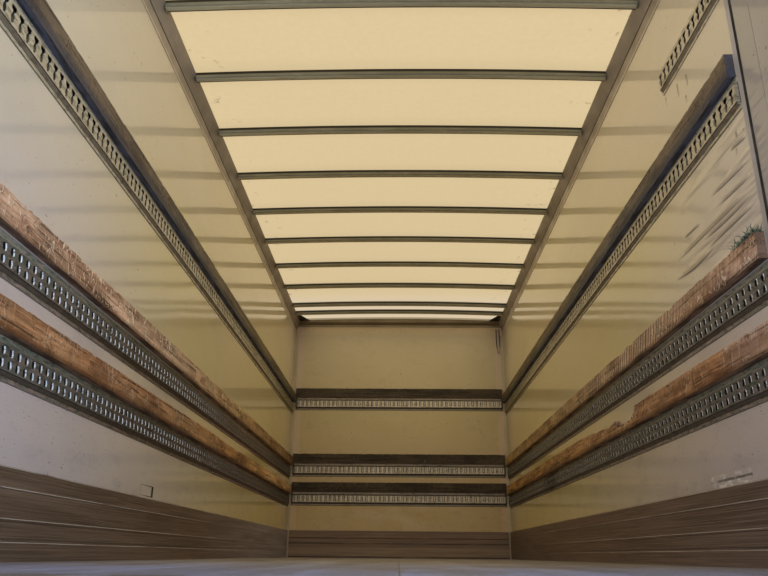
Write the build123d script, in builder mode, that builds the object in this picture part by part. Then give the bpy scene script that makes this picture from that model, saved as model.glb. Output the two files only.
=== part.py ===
from build123d import *
from math import sqrt
import os

# Closed dry-freight body of a box truck, standing on its own two long bearers.
# X to the right, Y to the front wall, Z up. The origin is the bottom centre of the whole
# body with both rear leaves folded back along its sides. Lengths are in millimetres.

os.makedirs("parts", exist_ok=True)

# Load space
inner_width = 2480
inner_length = 8400
wall = 20
lap = 4

# Underframe, from the ground up
sill_height = 140
sill_width = 60
sill_sheet = 6
sill_spacing = 860
bearer_height = 80
bearer_width = 45
bearer_sheet = 4
bearer_pitch = 600
deck = 27
deck_joint = 2
deck_boards = 6

# Outer frame under the walls
rave_width = 44
rave_height = 40
rave_sheet = 4
rave_upstand = 100

# Roof, heights above the load floor
crown_height = 2720
roof_rise = 24
sheet = 2.5
sheet_inset = 6
cant_drop = 92
cant_flange = 72
cant_reach = 41
cant_lip = 7
cant_outer_flange = 82
bow_width = 48
bow_depth = 40
bow_pitch = 609.6
bow_first = 660
bow_front = 367
bows = 13
header_reach = 55
header_under = 40
header_slope = 20
header_flange = 28
gusset_leg = 125
gusset_sheet = 3

# Rear frame
post_width = 42
post_depth = 90
post_sheet = 5
portal_drop = 140

# Front corner posts
post_lap = 60
trim_leg = 28
trim_sheet = 3
trim_web = 4

# Lashing rails and battens
rail_height = 134
rail_face = 78
rail_proud = 22
rail_sheet = 3
rail_slope = 13
slot_pitch = 50.8
slot_width = 13
slot_height = 58
slot_start = 5
batten_thick = 33
side_batten_height = 100
front_batten_height = 107
end_gap = 1
front_row_gap = 6

# Kick boards
kick_height = 284
kick_thick = 15
kick_groove = 4

# Side door in the right wall
side_door_front = 2044
side_door_width = 760
side_door_height = 2250
side_gap = 10
jamb_face = 30
jamb_sheet = 3
leaf_flange_lap = 25
leaf_flange = 4
leaf_flange_gap = 7
leaf_border = 110
leaf_groove = 3
side_pivot_out = 14

# Rear leaves, folded back beside the body
leaf_thick = 30
leaf_gap = 12
leaf_meeting = 6
leaf_edge_gap = 6
leaf_overlap = 60
leaf_below = 40
pivot_back = 45
pivot_out = 15
barrel_radius = 12
bolt_head = 10
bolt_head_height = 7
ear_half = 45
knuckle_half = 25
knuckle_gap = 0.5
strap_sheet = 6
strap_length = 130
rod_radius = 13.5
rod_standoff = 22
rod_over = 45
rod_fit = 0.3
cam_half = 20
cam_thick = 14
keeper_gap = 6
keeper_sheet = 8
guide_height = 50
guide_wall = 8
stop_size = (50, 60)
stop_gap = 6
seal_thick = 6
seal_width = 25

# Side marker lamps on the outer frame
lamp_size = (110, 40)
lamp_depth = 20
lamp_places = (-2500, 200, 2900)

half_in = inner_width / 2
half_out = half_in + wall
half_lap = half_out + lap
floor_z = sill_height + bearer_height + deck
crown_z = floor_z + crown_height
pivot_offset = leaf_gap + leaf_thick + pivot_back
rear_reach = pivot_offset + barrel_radius
front_reach = wall + lap
rear_y = rear_reach - (rear_reach + inner_length + front_reach) / 2
front_y = rear_y + inner_length
frame_y = rear_y + post_depth
edge_x = half_lap - sheet_inset
edge_z = crown_z - roof_rise
roof_radius = (edge_x ** 2 + roof_rise ** 2) / (2 * roof_rise)
wall_bottom = sill_height + bearer_height - (rave_height - lap) + lap
wall_top = edge_z - cant_drop
trim_y = front_y - trim_leg - end_gap
rail_half = rail_height / 2
door_front_y = rear_y + side_door_front
door_rear_y = door_front_y - side_door_width
door_top_z = floor_z + side_door_height

sides = (("left", -1), ("right", 1))


def roof_z(x):
    """Height of the roof sheet's underside at a distance x from the middle."""
    return crown_z - roof_radius + sqrt(roof_radius ** 2 - x ** 2)


def save(block, name):
    block.part.label = name
    export_step(block.part, f"parts/{name}.step")


# Deck of plywood boards laid across the body, with narrow joints.
deck_length = front_y - frame_y
board_length = (deck_length - deck_joint * (deck_boards - 1)) / deck_boards
with BuildPart() as floor_deck:
    with BuildSketch(Plane.XY.offset(floor_z - deck)):
        for n in range(deck_boards):
            board_y = frame_y + board_length / 2 + n * (board_length + deck_joint)
            with Locations((0, board_y)):
                Rectangle(inner_width, board_length)
    extrude(amount=deck)
save(floor_deck, "floor_deck")

# Cross bearers, open channels between the outer frame's inner webs.
bearer_half = half_out - rave_width
bearer_count = int((inner_length - post_depth - bearer_width) // bearer_pitch) + 1
bearer_start = front_y - rave_width - bearer_width
with BuildPart() as cross_bearers:
    with BuildSketch(Plane.YZ.offset(-bearer_half)):
        for n in range(bearer_count):
            with Locations((bearer_start - n * bearer_pitch + bearer_width / 2,
                            sill_height + bearer_height / 2)):
                Rectangle(bearer_width, bearer_height)
            with Locations((bearer_start - n * bearer_pitch + (bearer_width + bearer_sheet) / 2,
                            sill_height + bearer_height / 2)):
                Rectangle(bearer_width - bearer_sheet, bearer_height - 2 * bearer_sheet,
                          mode=Mode.SUBTRACT)
    extrude(amount=2 * bearer_half)
save(cross_bearers, "cross_bearers")

# Two long channels that lie on a truck's chassis frame, open towards the middle.
sill_x = sill_spacing / 2
sill_length = inner_length - post_depth
for side, s in sides:
    with BuildPart() as long_bearer:
        with BuildSketch(Plane.XZ.offset(-front_y)):
            with Locations((s * sill_x, sill_height / 2)):
                Rectangle(sill_width, sill_height)
            with Locations((s * (sill_x - sill_sheet / 2), sill_height / 2)):
                Rectangle(sill_width - sill_sheet, sill_height - 2 * sill_sheet, mode=Mode.SUBTRACT)
        extrude(amount=sill_length)
    save(long_bearer, f"long_bearer_{side}")

# Angle consoles on the long bearers. The rear ones are bolted to the chassis frame with two
# bolts each, the front ones with one sprung bolt, and the middle ones only guide the body.
console_foot = 80
console_sheet = 10
console_height = 120
console_length = 160
console_hole = 9
console_hole_gap = 100
console_places = (
    # place along the body, bolts
    (-3400, 2),
    (-1200, 0),
    (1200, 0),
    (3400, 1),
)
console_x = sill_x + sill_width / 2
with BuildPart() as consoles:
    for s in (-1, 1):
        for place, bolts in console_places:
            with BuildSketch(Plane.XZ.offset(-place - console_length / 2)):
                with Locations((s * (console_x + console_foot / 2), console_sheet / 2)):
                    Rectangle(console_foot, console_sheet)
                with Locations((s * (console_x + console_sheet / 2), console_height / 2)):
                    Rectangle(console_sheet, console_height)
            extrude(amount=console_length)
            with BuildSketch(Plane.XZ.offset(-place - console_sheet / 2)):
                with BuildLine():
                    Polyline((s * (console_x + console_sheet), console_sheet),
                             (s * (console_x + console_foot), console_sheet),
                             (s * (console_x + console_sheet), console_height), close=True)
                make_face()
            extrude(amount=console_sheet)
            if bolts:
                with BuildSketch(Plane.XY):
                    with Locations((s * (console_x + console_foot / 2), place)):
                        with GridLocations(1, console_hole_gap, 1, bolts):
                            Circle(console_hole)
                extrude(amount=console_sheet, mode=Mode.SUBTRACT)
save(consoles, "mounting_consoles")

# Outer frame: a hollow ledge under each wall with an upstand outside it.
rave_bottom = wall_bottom - rave_height
rave_top = floor_z + rave_upstand
for side, s in sides:
    with BuildPart() as rave:
        with BuildSketch(Plane.XZ.offset(-front_y)):
            with Locations((s * (half_out - rave_width / 2), (rave_bottom + wall_bottom) / 2)):
                Rectangle(rave_width, rave_height)
            with Locations((s * (half_out + lap / 2), (rave_bottom + rave_top) / 2)):
                Rectangle(lap, rave_top - rave_bottom)
            with Locations((s * (half_out - rave_width / 2), (rave_bottom + wall_bottom) / 2)):
                Rectangle(rave_width - 2 * rave_sheet, rave_height - 2 * rave_sheet, mode=Mode.SUBTRACT)
        extrude(amount=front_y - frame_y)
        if s > 0:
            with BuildSketch(Plane.YZ.offset(half_out)):
                with Locations(((door_front_y + door_rear_y) / 2, (floor_z + rave_top) / 2)):
                    Rectangle(side_door_width + 2 * jamb_face, rave_top - floor_z)
            extrude(amount=lap, mode=Mode.SUBTRACT)
    save(rave, f"side_rave_{side}")

front_half = half_in - trim_web
with BuildPart() as front_sill:
    with BuildSketch(Plane.YZ.offset(-front_half)):
        with Locations((front_y + wall - rave_width / 2, (rave_bottom + wall_bottom) / 2)):
            Rectangle(rave_width, rave_height)
        with Locations((front_y + wall + lap / 2, (rave_bottom + rave_top) / 2)):
            Rectangle(lap, rave_top - rave_bottom)
        with Locations((front_y + wall - rave_width / 2, (rave_bottom + wall_bottom) / 2)):
            Rectangle(rave_width - 2 * rave_sheet, rave_height - 2 * rave_sheet, mode=Mode.SUBTRACT)
    extrude(amount=2 * front_half)
    with BuildSketch(Plane.XY.offset(rave_bottom)):
        for s in (-1, 1):
            with Locations((s * (half_out - rave_width / 2), front_y - rave_width / 2)):
                Rectangle(rave_width, rave_width)
    extrude(amount=rave_height, mode=Mode.SUBTRACT)
save(front_sill, "front_sill")

# Walls: flat panels in the slots of the frames.
wall_panels = (
    # name, side, from y, to y, from z, to z
    ("wall_left", -1, frame_y, front_y, wall_bottom, wall_top),
    ("wall_right_front", 1, door_front_y + jamb_sheet, front_y, wall_bottom, wall_top),
    ("wall_right_rear", 1, frame_y, door_rear_y - jamb_sheet, wall_bottom, wall_top),
    ("wall_right_over_door", 1, door_rear_y - jamb_sheet, door_front_y + jamb_sheet,
     door_top_z + jamb_sheet, wall_top),
)
for name, s, y0, y1, z0, z1 in wall_panels:
    with BuildPart() as wall_panel:
        with BuildSketch(Plane.YZ.offset(s * (half_in + wall / 2))):
            with Locations(((y0 + y1) / 2, (z0 + z1) / 2)):
                Rectangle(y1 - y0, z1 - z0)
        extrude(amount=wall / 2, both=True)
    save(wall_panel, name)

header_z = edge_z - header_under
with BuildPart() as front_wall:
    with BuildSketch(Plane.XZ.offset(-front_y - wall)):
        with Locations((0, (wall_bottom + header_z) / 2)):
            Rectangle(2 * front_half, header_z - wall_bottom)
    extrude(amount=wall)
save(front_wall, "front_wall")

# Front corner posts: a rounded corner outside, a thin angle inside and a web between them.
post_top = wall_top - cant_outer_flange - end_gap
for side, s in sides:
    with BuildPart() as front_post:
        with BuildSketch(Plane.XY.offset(rave_bottom)) as corner:
            with BuildLine():
                Polyline((s * front_half, front_y), (s * half_lap, front_y),
                         (s * half_lap, front_y + lap))
                RadiusArc((s * half_lap, front_y + lap), (s * (half_lap - wall), front_y + wall + lap),
                          s * wall)
                Polyline((s * (half_lap - wall), front_y + wall + lap),
                         (s * front_half, front_y + wall + lap), (s * front_half, front_y))
            make_face()
        extrude(amount=header_z - rave_bottom)
        with BuildSketch(Plane.XY.offset(rave_top + end_gap)):
            with Locations((s * (half_out + lap / 2), front_y - post_lap / 2)):
                Rectangle(lap, post_lap)
            with Locations((s * (front_half - post_lap / 2), front_y + wall + lap / 2)):
                Rectangle(post_lap, lap)
        extrude(amount=post_top - rave_top - end_gap)
        with BuildSketch(Plane.XY.offset(floor_z)):
            with Locations((s * (half_in - trim_sheet / 2), front_y - trim_leg / 2)):
                Rectangle(trim_sheet, trim_leg)
            with Locations((s * (half_in - trim_leg / 2), front_y - trim_sheet / 2)):
                Rectangle(trim_leg, trim_sheet)
        extrude(amount=post_top - floor_z)
    save(front_post, f"front_post_{side}")


def cant_outline(s):
    """The cant rail's filled outline in the XZ plane, on the side given by s."""
    flange_z = wall_top - cant_flange
    outer_z = wall_top - cant_outer_flange
    Polyline((s * half_lap, outer_z), (s * half_out, outer_z), (s * half_out, wall_top),
             (s * half_in, wall_top), (s * half_in, flange_z), (s * (half_in - lap), flange_z),
             (s * (half_in - lap), wall_top), (s * (half_in - cant_reach), roof_z(half_in) - cant_lip),
             (s * (half_in - cant_reach), edge_z), (s * (half_lap - wall / 2), edge_z),
             (s * half_lap, edge_z - wall / 2), (s * half_lap, outer_z))


# Cant rails: hollow sections over the side walls with a slanted inner face.
cant_core = 5
for side, s in sides:
    with BuildPart() as cant_rail:
        with BuildSketch(Plane.XZ.offset(-front_y)):
            with BuildLine():
                cant_outline(s)
            make_face()
            with BuildLine():
                Polyline((s * (half_out - cant_core / 2), wall_top + cant_core),
                         (s * (half_in + cant_core / 2), wall_top + cant_core),
                         (s * (half_in - cant_reach + 2 * cant_core), edge_z - cant_core),
                         (s * (half_out - cant_core), edge_z - cant_core), close=True)
            make_face(mode=Mode.SUBTRACT)
        extrude(amount=front_y - frame_y)
    save(cant_rail, f"cant_rail_{side}")


def under_roof(width, low_z):
    """Outline in the XZ plane from low_z up to the roof sheet's underside."""
    Polyline((-width, roof_z(width)), (-width, low_z), (width, low_z), (width, roof_z(width)))
    ThreePointArc((width, roof_z(width)), (0, crown_z), (-width, roof_z(width)))


# Front header: closes the front wall's top up to the cambered roof.
with BuildPart() as front_header:
    with BuildSketch(Plane.YZ.offset(-half_lap)):
        with BuildLine():
            Polyline((front_y + wall, wall_top), (front_y + wall + lap, wall_top),
                     (front_y + wall + lap, crown_z), (front_y - header_reach, crown_z),
                     (front_y - header_reach, header_z + header_slope), (front_y - lap, header_z),
                     (front_y - lap, header_z - header_flange), (front_y, header_z - header_flange),
                     (front_y, header_z), (front_y + wall, header_z), close=True)
        make_face()
    extrude(amount=2 * half_lap)
    with BuildSketch(Plane.XZ.offset(-front_y - wall - lap)):
        with BuildLine():
            under_roof(half_lap, wall_top)
        make_face()
    extrude(amount=wall + lap + header_reach, mode=Mode.INTERSECT)
    for s in (-1, 1):
        with BuildSketch(Plane.XZ.offset(-front_y)):
            with Locations((s * (half_in + half_lap) / 2, (wall_top + crown_z) / 2)):
                Rectangle(half_lap - half_in, crown_z - wall_top)
            with BuildLine():
                Polyline((s * half_in, wall_top), (s * (half_in - lap), wall_top),
                         (s * (half_in - cant_reach), roof_z(half_in) - cant_lip),
                         (s * (half_in - cant_reach), crown_z), (s * half_in, crown_z), close=True)
            make_face()
        extrude(amount=header_reach, mode=Mode.SUBTRACT)
    with BuildSketch(Plane.XZ.offset(-front_y - wall - lap)):
        for s in (-1, 1):
            with Locations((s * (front_half + half_lap) / 2, (wall_top + header_z) / 2)):
                Rectangle(half_lap - front_half, header_z - wall_top)
    extrude(amount=wall + lap, mode=Mode.SUBTRACT)
save(front_header, "front_header")

# Roof bows: closed box sections under the sheet, cut to the slant of the cant rails.
bow_places = [front_y - bow_front] + [front_y - bow_first - n * bow_pitch for n in range(bows)]
with BuildPart() as roof_bows:
    for place in bow_places:
        with BuildSketch(Plane.XZ.offset(-place)):
            with BuildLine():
                Polyline((-half_in, roof_z(half_in)), (-half_in, roof_z(half_in) - bow_depth))
                ThreePointArc((-half_in, roof_z(half_in) - bow_depth), (0, crown_z - bow_depth),
                              (half_in, roof_z(half_in) - bow_depth))
                Polyline((half_in, roof_z(half_in) - bow_depth), (half_in, roof_z(half_in)))
                ThreePointArc((half_in, roof_z(half_in)), (0, crown_z), (-half_in, roof_z(half_in)))
            make_face()
        extrude(amount=bow_width)
    for s in (-1, 1):
        with BuildSketch(Plane.XZ.offset(-front_y)):
            with BuildLine():
                Polyline((s * (half_in + lap), wall_top), (s * (half_in - lap), wall_top),
                         (s * (half_in - cant_reach), roof_z(half_in) - cant_lip),
                         (s * (half_in - cant_reach), crown_z), (s * (half_in + lap), crown_z),
                         close=True)
            make_face()
        extrude(amount=inner_length, mode=Mode.SUBTRACT)
save(roof_bows, "roof_bows")

# Triangular corner plates between the front header and the foremost bow.
gusset_front = front_y - header_reach
gusset_rear = front_y - bow_front
gusset_x = half_in - cant_reach
with BuildPart() as gussets:
    with BuildSketch(Plane.XY.offset(edge_z - gusset_sheet)):
        for s in (-1, 1):
            with BuildLine():
                Polyline((s * gusset_x, gusset_rear), (s * gusset_x, gusset_front),
                         (s * (gusset_x - gusset_leg), gusset_front), close=True)
            make_face()
    extrude(amount=gusset_sheet)
save(gussets, "roof_gussets")

# Translucent roof sheet, one shallow arc.
with BuildPart() as roof_sheet:
    with BuildSketch(Plane.XZ.offset(-front_y - wall)):
        with BuildLine():
            ThreePointArc((-edge_x, edge_z), (0, crown_z), (edge_x, edge_z))
            Line((edge_x, edge_z), (edge_x, edge_z + sheet))
            ThreePointArc((edge_x, edge_z + sheet), (0, crown_z + sheet), (-edge_x, edge_z + sheet))
            Line((-edge_x, edge_z + sheet), (-edge_x, edge_z))
        make_face()
    extrude(amount=inner_length + wall)
save(roof_sheet, "roof_sheet")

# Rear frame: hollow posts, a cambered header and a floor-high sill.
pivot_x = half_out + pivot_out
pivot_y = rear_y - pivot_offset
leaf_bottom = floor_z - leaf_below
leaf_top = crown_z - portal_drop + leaf_overlap
hinge_end = 220
hinges = 4
hinge_step = (leaf_top - leaf_bottom - 2 * hinge_end) / (hinges - 1)
hinge_places = [leaf_bottom + hinge_end + n * hinge_step for n in range(hinges)]
leaf_width = half_in - leaf_meeting / 2 - leaf_edge_gap / 2
leaf_root = pivot_x - leaf_meeting / 2 - leaf_width
for side, s in sides:
    with BuildPart() as rear_post:
        with BuildSketch(Plane.XY.offset(sill_height)):
            with Locations((s * (half_lap - post_width / 2), rear_y + post_depth / 2)):
                Rectangle(post_width, post_depth)
                Rectangle(post_width - 2 * post_sheet, post_depth - 2 * post_sheet, mode=Mode.SUBTRACT)
        extrude(amount=edge_z - sill_height)
    save(rear_post, f"rear_post_{side}")

# Hinge ears on the posts, one under and one over each knuckle, with the hinge bolt's head.
ear_x = pivot_x - leaf_root + leaf_edge_gap
ear_height = ear_half - knuckle_half - knuckle_gap
nose = barrel_radius / 2
with BuildPart() as hinge_ears:
    for s in (-1, 1):
        for place in hinge_places:
            for ear_z in (place - ear_half, place + knuckle_half + knuckle_gap):
                with BuildSketch(Plane.XY.offset(ear_z)):
                    with BuildLine():
                        Polyline((s * ear_x, rear_y), (s * ear_x, pivot_y),
                                 (s * (pivot_x - nose), pivot_y - barrel_radius),
                                 (s * (pivot_x + nose), pivot_y - barrel_radius),
                                 (s * (pivot_x + barrel_radius), pivot_y),
                                 (s * half_lap, rear_y), close=True)
                    make_face()
                extrude(amount=ear_height)
            with BuildSketch(Plane.XY.offset(place + ear_half)):
                with Locations((s * pivot_x, pivot_y)):
                    RegularPolygon(bolt_head, 6)
            extrude(amount=bolt_head_height)
save(hinge_ears, "rear_hinge_ears")

portal_half = half_lap - post_width
portal_z = crown_z - portal_drop
with BuildPart() as rear_header:
    with BuildSketch(Plane.XZ.offset(-frame_y)):
        with BuildLine():
            under_roof(portal_half, portal_z)
        make_face()
    extrude(amount=post_depth)
    with BuildSketch(Plane.YZ.offset(-portal_half)):
        with Locations((rear_y + post_depth / 2, (portal_z + edge_z) / 2)):
            Rectangle(post_depth - 2 * post_sheet, edge_z - portal_z - 2 * post_sheet)
    extrude(amount=2 * portal_half, mode=Mode.SUBTRACT)
save(rear_header, "rear_header")

with BuildPart() as rear_sill:
    with BuildSketch(Plane.YZ.offset(-portal_half)):
        with Locations((rear_y + post_depth / 2, (sill_height + floor_z) / 2)):
            Rectangle(post_depth, floor_z - sill_height)
            Rectangle(post_depth - 2 * post_sheet, floor_z - sill_height - 2 * post_sheet,
                      mode=Mode.SUBTRACT)
    extrude(amount=2 * portal_half)
save(rear_sill, "rear_sill")

buffer_size = (150, 70, 50)
buffer_x = 650
with BuildPart() as buffers:
    for s in (-1, 1):
        with Locations((s * buffer_x, rear_y - buffer_size[1] / 2, sill_height + buffer_size[2] / 2 + lap)):
            Box(*buffer_size)
    chamfer(buffers.faces().sort_by(Axis.Y)[:2].edges(), buffer_size[2] / 4)
save(buffers, "rear_buffers")


def rail_section(s, back, z):
    """Hat section of a lashing rail with its back at s * back, facing the middle, centred at z."""
    face = rail_face / 2
    root = face + rail_slope
    bend = rail_sheet / 2
    Polyline((s * back, z - rail_half), (s * (back - rail_sheet), z - rail_half),
             (s * (back - rail_sheet), z - root), (s * (back - rail_proud), z - face),
             (s * (back - rail_proud), z + face), (s * (back - rail_sheet), z + root),
             (s * (back - rail_sheet), z + rail_half), (s * back, z + rail_half),
             (s * back, z + root - bend), (s * (back - rail_proud + rail_sheet), z + face - bend),
             (s * (back - rail_proud + rail_sheet), z - face + bend), (s * back, z - root + bend),
             close=True)


# Rows of rail and batten, heights above the load floor
side_rows = (
    # row, rail centre, batten underside
    ("upper", 1636, 1704),
    ("middle", 905, 984),
    ("lower", 601, 670),
)
front_rows = (
    # rail centre, batten underside
    (1696, 1764),
    (941, 1009),
    (626, 694),
)
run_front = trim_y
post_face_y = frame_y + end_gap
side_runs = {
    -1: ((post_face_y, run_front),),
    1: ((post_face_y, door_rear_y - jamb_face - end_gap),
        (door_front_y + jamb_face + end_gap + 10, run_front)),
}
short_rail_z = 2140
short_rail_length = 665


def slot_count(length):
    """How many slots at the common pitch fit in a rail of this length."""
    return int((length - slot_pitch) // slot_pitch) + 1


for side, s in sides:
    with BuildPart() as upper_rails:
        rail_z = floor_z + side_rows[0][1]
        for y0, y1 in side_runs[s]:
            with BuildSketch(Plane.XZ.offset(-y1)):
                with BuildLine():
                    rail_section(s, half_in, rail_z)
                make_face()
            extrude(amount=y1 - y0)
            count = slot_count(y1 - y0)
            with BuildSketch(Plane.YZ.offset(s * (half_in - rail_proud))):
                with Locations((y0 + slot_pitch * count / 2 + slot_start, rail_z)):
                    with GridLocations(slot_pitch, 1, count, 1):
                        Rectangle(slot_width, slot_height)
            extrude(amount=rail_sheet, both=True, mode=Mode.SUBTRACT)
    save(upper_rails, f"side_rail_upper_{side}")
    with BuildPart() as low_rails:
        for y0, y1 in side_runs[s]:
            with BuildSketch(Plane.XZ.offset(-y1)):
                for row, rail_z, batten_z in side_rows[1:]:
                    with BuildLine():
                        rail_section(s, half_in, floor_z + rail_z)
                    make_face()
            extrude(amount=y1 - y0)
    save(low_rails, f"side_rails_low_{side}")

with BuildPart() as short_rail:
    short_y = side_runs[1][1][0]
    with BuildSketch(Plane.XZ.offset(-short_y - short_rail_length)):
        with BuildLine():
            rail_section(1, half_in, floor_z + short_rail_z)
        make_face()
    extrude(amount=short_rail_length)
    count = slot_count(short_rail_length)
    with BuildSketch(Plane.YZ.offset(half_in - rail_proud)):
        with Locations((short_y + slot_pitch * count / 2 + slot_start, floor_z + short_rail_z)):
            with GridLocations(slot_pitch, 1, count, 1):
                Rectangle(slot_width, slot_height)
    extrude(amount=rail_sheet, both=True, mode=Mode.SUBTRACT)
save(short_rail, "side_rail_short")

# Timber battens over the rails; a length of the lowest right one is broken out.
break_from = 3605
break_to = 3960
break_depth = 55
for side, s in sides:
    with BuildPart() as battens:
        for y0, y1 in side_runs[s]:
            for row, rail_z, batten_z in side_rows:
                with BuildSketch(Plane.YZ.offset(s * (half_in - batten_thick / 2))):
                    with Locations(((y0 + y1) / 2, floor_z + batten_z + side_batten_height / 2)):
                        Rectangle(y1 - y0, side_batten_height)
                extrude(amount=batten_thick / 2, both=True)
        if s > 0:
            batten_top = floor_z + side_rows[2][2] + side_batten_height
            with BuildSketch(Plane.YZ.offset(half_in - batten_thick)):
                with BuildLine():
                    Polyline((rear_y + break_from, batten_top),
                             (rear_y + break_from + break_depth, batten_top - break_depth),
                             (rear_y + break_to - break_depth / 2, batten_top - break_depth),
                             (rear_y + break_to, batten_top), close=True)
                make_face()
            extrude(amount=batten_thick, mode=Mode.SUBTRACT)
    save(battens, f"side_battens_{side}")

front_rail_half = half_in - trim_leg - front_row_gap - end_gap
with BuildPart() as front_rails:
    for rail_z, batten_z in front_rows:
        with BuildSketch(Plane.YZ.offset(-front_rail_half)):
            with BuildLine():
                rail_section(1, front_y, floor_z + rail_z)
            make_face()
        extrude(amount=2 * front_rail_half)
save(front_rails, "front_rails")

with BuildPart() as front_battens:
    for rail_z, batten_z in front_rows:
        with BuildSketch(Plane.XZ.offset(-front_y)):
            with Locations((0, floor_z + batten_z + front_batten_height / 2)):
                Rectangle(2 * front_rail_half, front_batten_height)
        extrude(amount=batten_thick)
save(front_battens, "front_battens")

# Kick boards along the foot of the walls, with long grooves.
side_grooves = (68, 120, 217)
front_grooves = (45, 125, 248)
for side, s in sides:
    with BuildPart() as kick:
        for y0, y1 in side_runs[s]:
            with BuildSketch(Plane.XZ.offset(-y1)):
                with Locations((s * (half_in - kick_thick / 2), floor_z + kick_height / 2)):
                    Rectangle(kick_thick, kick_height)
                for groove in side_grooves:
                    with Locations((s * (half_in - kick_thick), floor_z + groove)):
                        Rectangle(kick_groove, kick_groove, mode=Mode.SUBTRACT)
            extrude(amount=y1 - y0)
    save(kick, f"kick_board_{side}")

kick_half = half_in - trim_leg - end_gap
with BuildPart() as kick_front:
    with BuildSketch(Plane.YZ.offset(-kick_half)):
        with Locations((front_y - kick_thick / 2, floor_z + kick_height / 2)):
            Rectangle(kick_thick, kick_height)
        for groove in front_grooves:
            with Locations((front_y - kick_thick, floor_z + groove)):
                Rectangle(kick_groove, kick_groove, mode=Mode.SUBTRACT)
    extrude(amount=2 * kick_half)
save(kick_front, "kick_board_front")

# Side door frame: channel strips round the edges of the wall opening.
with BuildPart() as door_frame:
    for edge_y, d in ((door_front_y, 1), (door_rear_y, -1)):
        with BuildSketch(Plane.XY.offset(floor_z)):
            with Locations((half_in + wall / 2, edge_y + d * jamb_face / 2)):
                Rectangle(wall + 2 * jamb_sheet, jamb_face)
            with Locations((half_in + wall / 2, edge_y + d * (jamb_face + jamb_sheet) / 2)):
                Rectangle(wall, jamb_face - jamb_sheet, mode=Mode.SUBTRACT)
        extrude(amount=side_door_height)
    with BuildSketch(Plane.XZ.offset(-door_front_y - jamb_face)):
        for x in (half_in - jamb_sheet / 2, half_out + jamb_sheet / 2):
            with Locations((x, door_top_z + jamb_face / 2)):
                Rectangle(jamb_sheet, jamb_face)
    extrude(amount=side_door_width + 2 * jamb_face)
    with BuildSketch(Plane.XZ.offset(-door_front_y - jamb_sheet)):
        with Locations((half_in + wall / 2, door_top_z + jamb_sheet / 2)):
            Rectangle(wall, jamb_sheet)
    extrude(amount=side_door_width + 2 * jamb_sheet)
save(door_frame, "side_door_frame")

with BuildPart() as door_step:
    with BuildSketch(Plane.XZ.offset(-door_front_y - jamb_sheet)):
        with Locations((half_in + wall / 2, (wall_bottom + floor_z) / 2)):
            Rectangle(wall, floor_z - wall_bottom)
    extrude(amount=side_door_width + 2 * jamb_sheet)
save(door_step, "side_door_step")

# Side door leaf: fills the opening inside and laps over its frame outside.
leaf_front_y = door_front_y - side_gap
leaf_rear_y = door_rear_y + side_gap
side_leaf_mid = (leaf_front_y + leaf_rear_y) / 2
side_leaf_width = leaf_front_y - leaf_rear_y
side_leaf_bottom = floor_z + side_gap
side_leaf_height = side_door_height - 2 * side_gap
side_leaf_z = side_leaf_bottom + side_leaf_height / 2
flange_x = half_out + leaf_flange_gap
with BuildPart() as side_leaf:
    with BuildSketch(Plane.YZ.offset(half_in)):
        with Locations((side_leaf_mid, side_leaf_z)):
            Rectangle(side_leaf_width, side_leaf_height)
    extrude(amount=wall + leaf_flange_gap)
    with BuildSketch(Plane.YZ.offset(flange_x)):
        with Locations((side_leaf_mid, side_leaf_z + leaf_flange_lap / 2)):
            Rectangle(side_leaf_width + 2 * (side_gap + leaf_flange_lap),
                      side_leaf_height + leaf_flange_lap)
    extrude(amount=leaf_flange)
    with BuildSketch(Plane.YZ.offset(half_in)):
        with Locations((side_leaf_mid, side_leaf_z)):
            Rectangle(side_leaf_width - 2 * leaf_border, side_leaf_height - 2 * leaf_border)
            Rectangle(side_leaf_width - 2 * (leaf_border + leaf_groove),
                      side_leaf_height - 2 * (leaf_border + leaf_groove), mode=Mode.SUBTRACT)
    extrude(amount=leaf_groove, mode=Mode.SUBTRACT)
save(side_leaf, "side_door_leaf")

# Hinges of the side door: a wall bracket above and below each leaf knuckle.
side_barrel = 10
side_knuckle = 20
side_ear = 18
side_plate = 6
side_strap = 110
side_pivot_x = flange_x + leaf_flange + side_pivot_out
side_pivot_y = door_front_y + leaf_flange_lap + side_pivot_out
side_hinges = 3
side_hinge_end = 250
side_hinge_step = (side_leaf_height - 2 * side_hinge_end) / (side_hinges - 1)
side_hinge_places = [side_leaf_bottom + side_hinge_end + n * side_hinge_step for n in range(side_hinges)]
flange_out = flange_x + leaf_flange
side_nose = side_barrel / 2
with BuildPart() as side_brackets:
    for place in side_hinge_places:
        for z in (place - side_knuckle - knuckle_gap - side_ear, place + side_knuckle + knuckle_gap):
            with BuildSketch(Plane.XY.offset(z)):
                with BuildLine():
                    Polyline((half_out, side_pivot_y), (side_pivot_x - side_barrel, side_pivot_y),
                             (side_pivot_x - side_nose, side_pivot_y - side_barrel),
                             (side_pivot_x + side_nose, side_pivot_y - side_barrel),
                             (side_pivot_x + side_barrel, side_pivot_y),
                             (half_out + side_plate, side_pivot_y + side_strap / 2),
                             (half_out, side_pivot_y + side_strap / 2), close=True)
                make_face()
            extrude(amount=side_ear)
        plate_height = 2 * (side_knuckle + knuckle_gap + side_ear)
        with BuildSketch(Plane.YZ.offset(half_out)):
            with Locations((side_pivot_y + side_strap / 4 + side_barrel + side_pivot_out, place)):
                Rectangle(side_strap / 2, plate_height)
        extrude(amount=side_plate)
save(side_brackets, "side_door_brackets")

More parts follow.
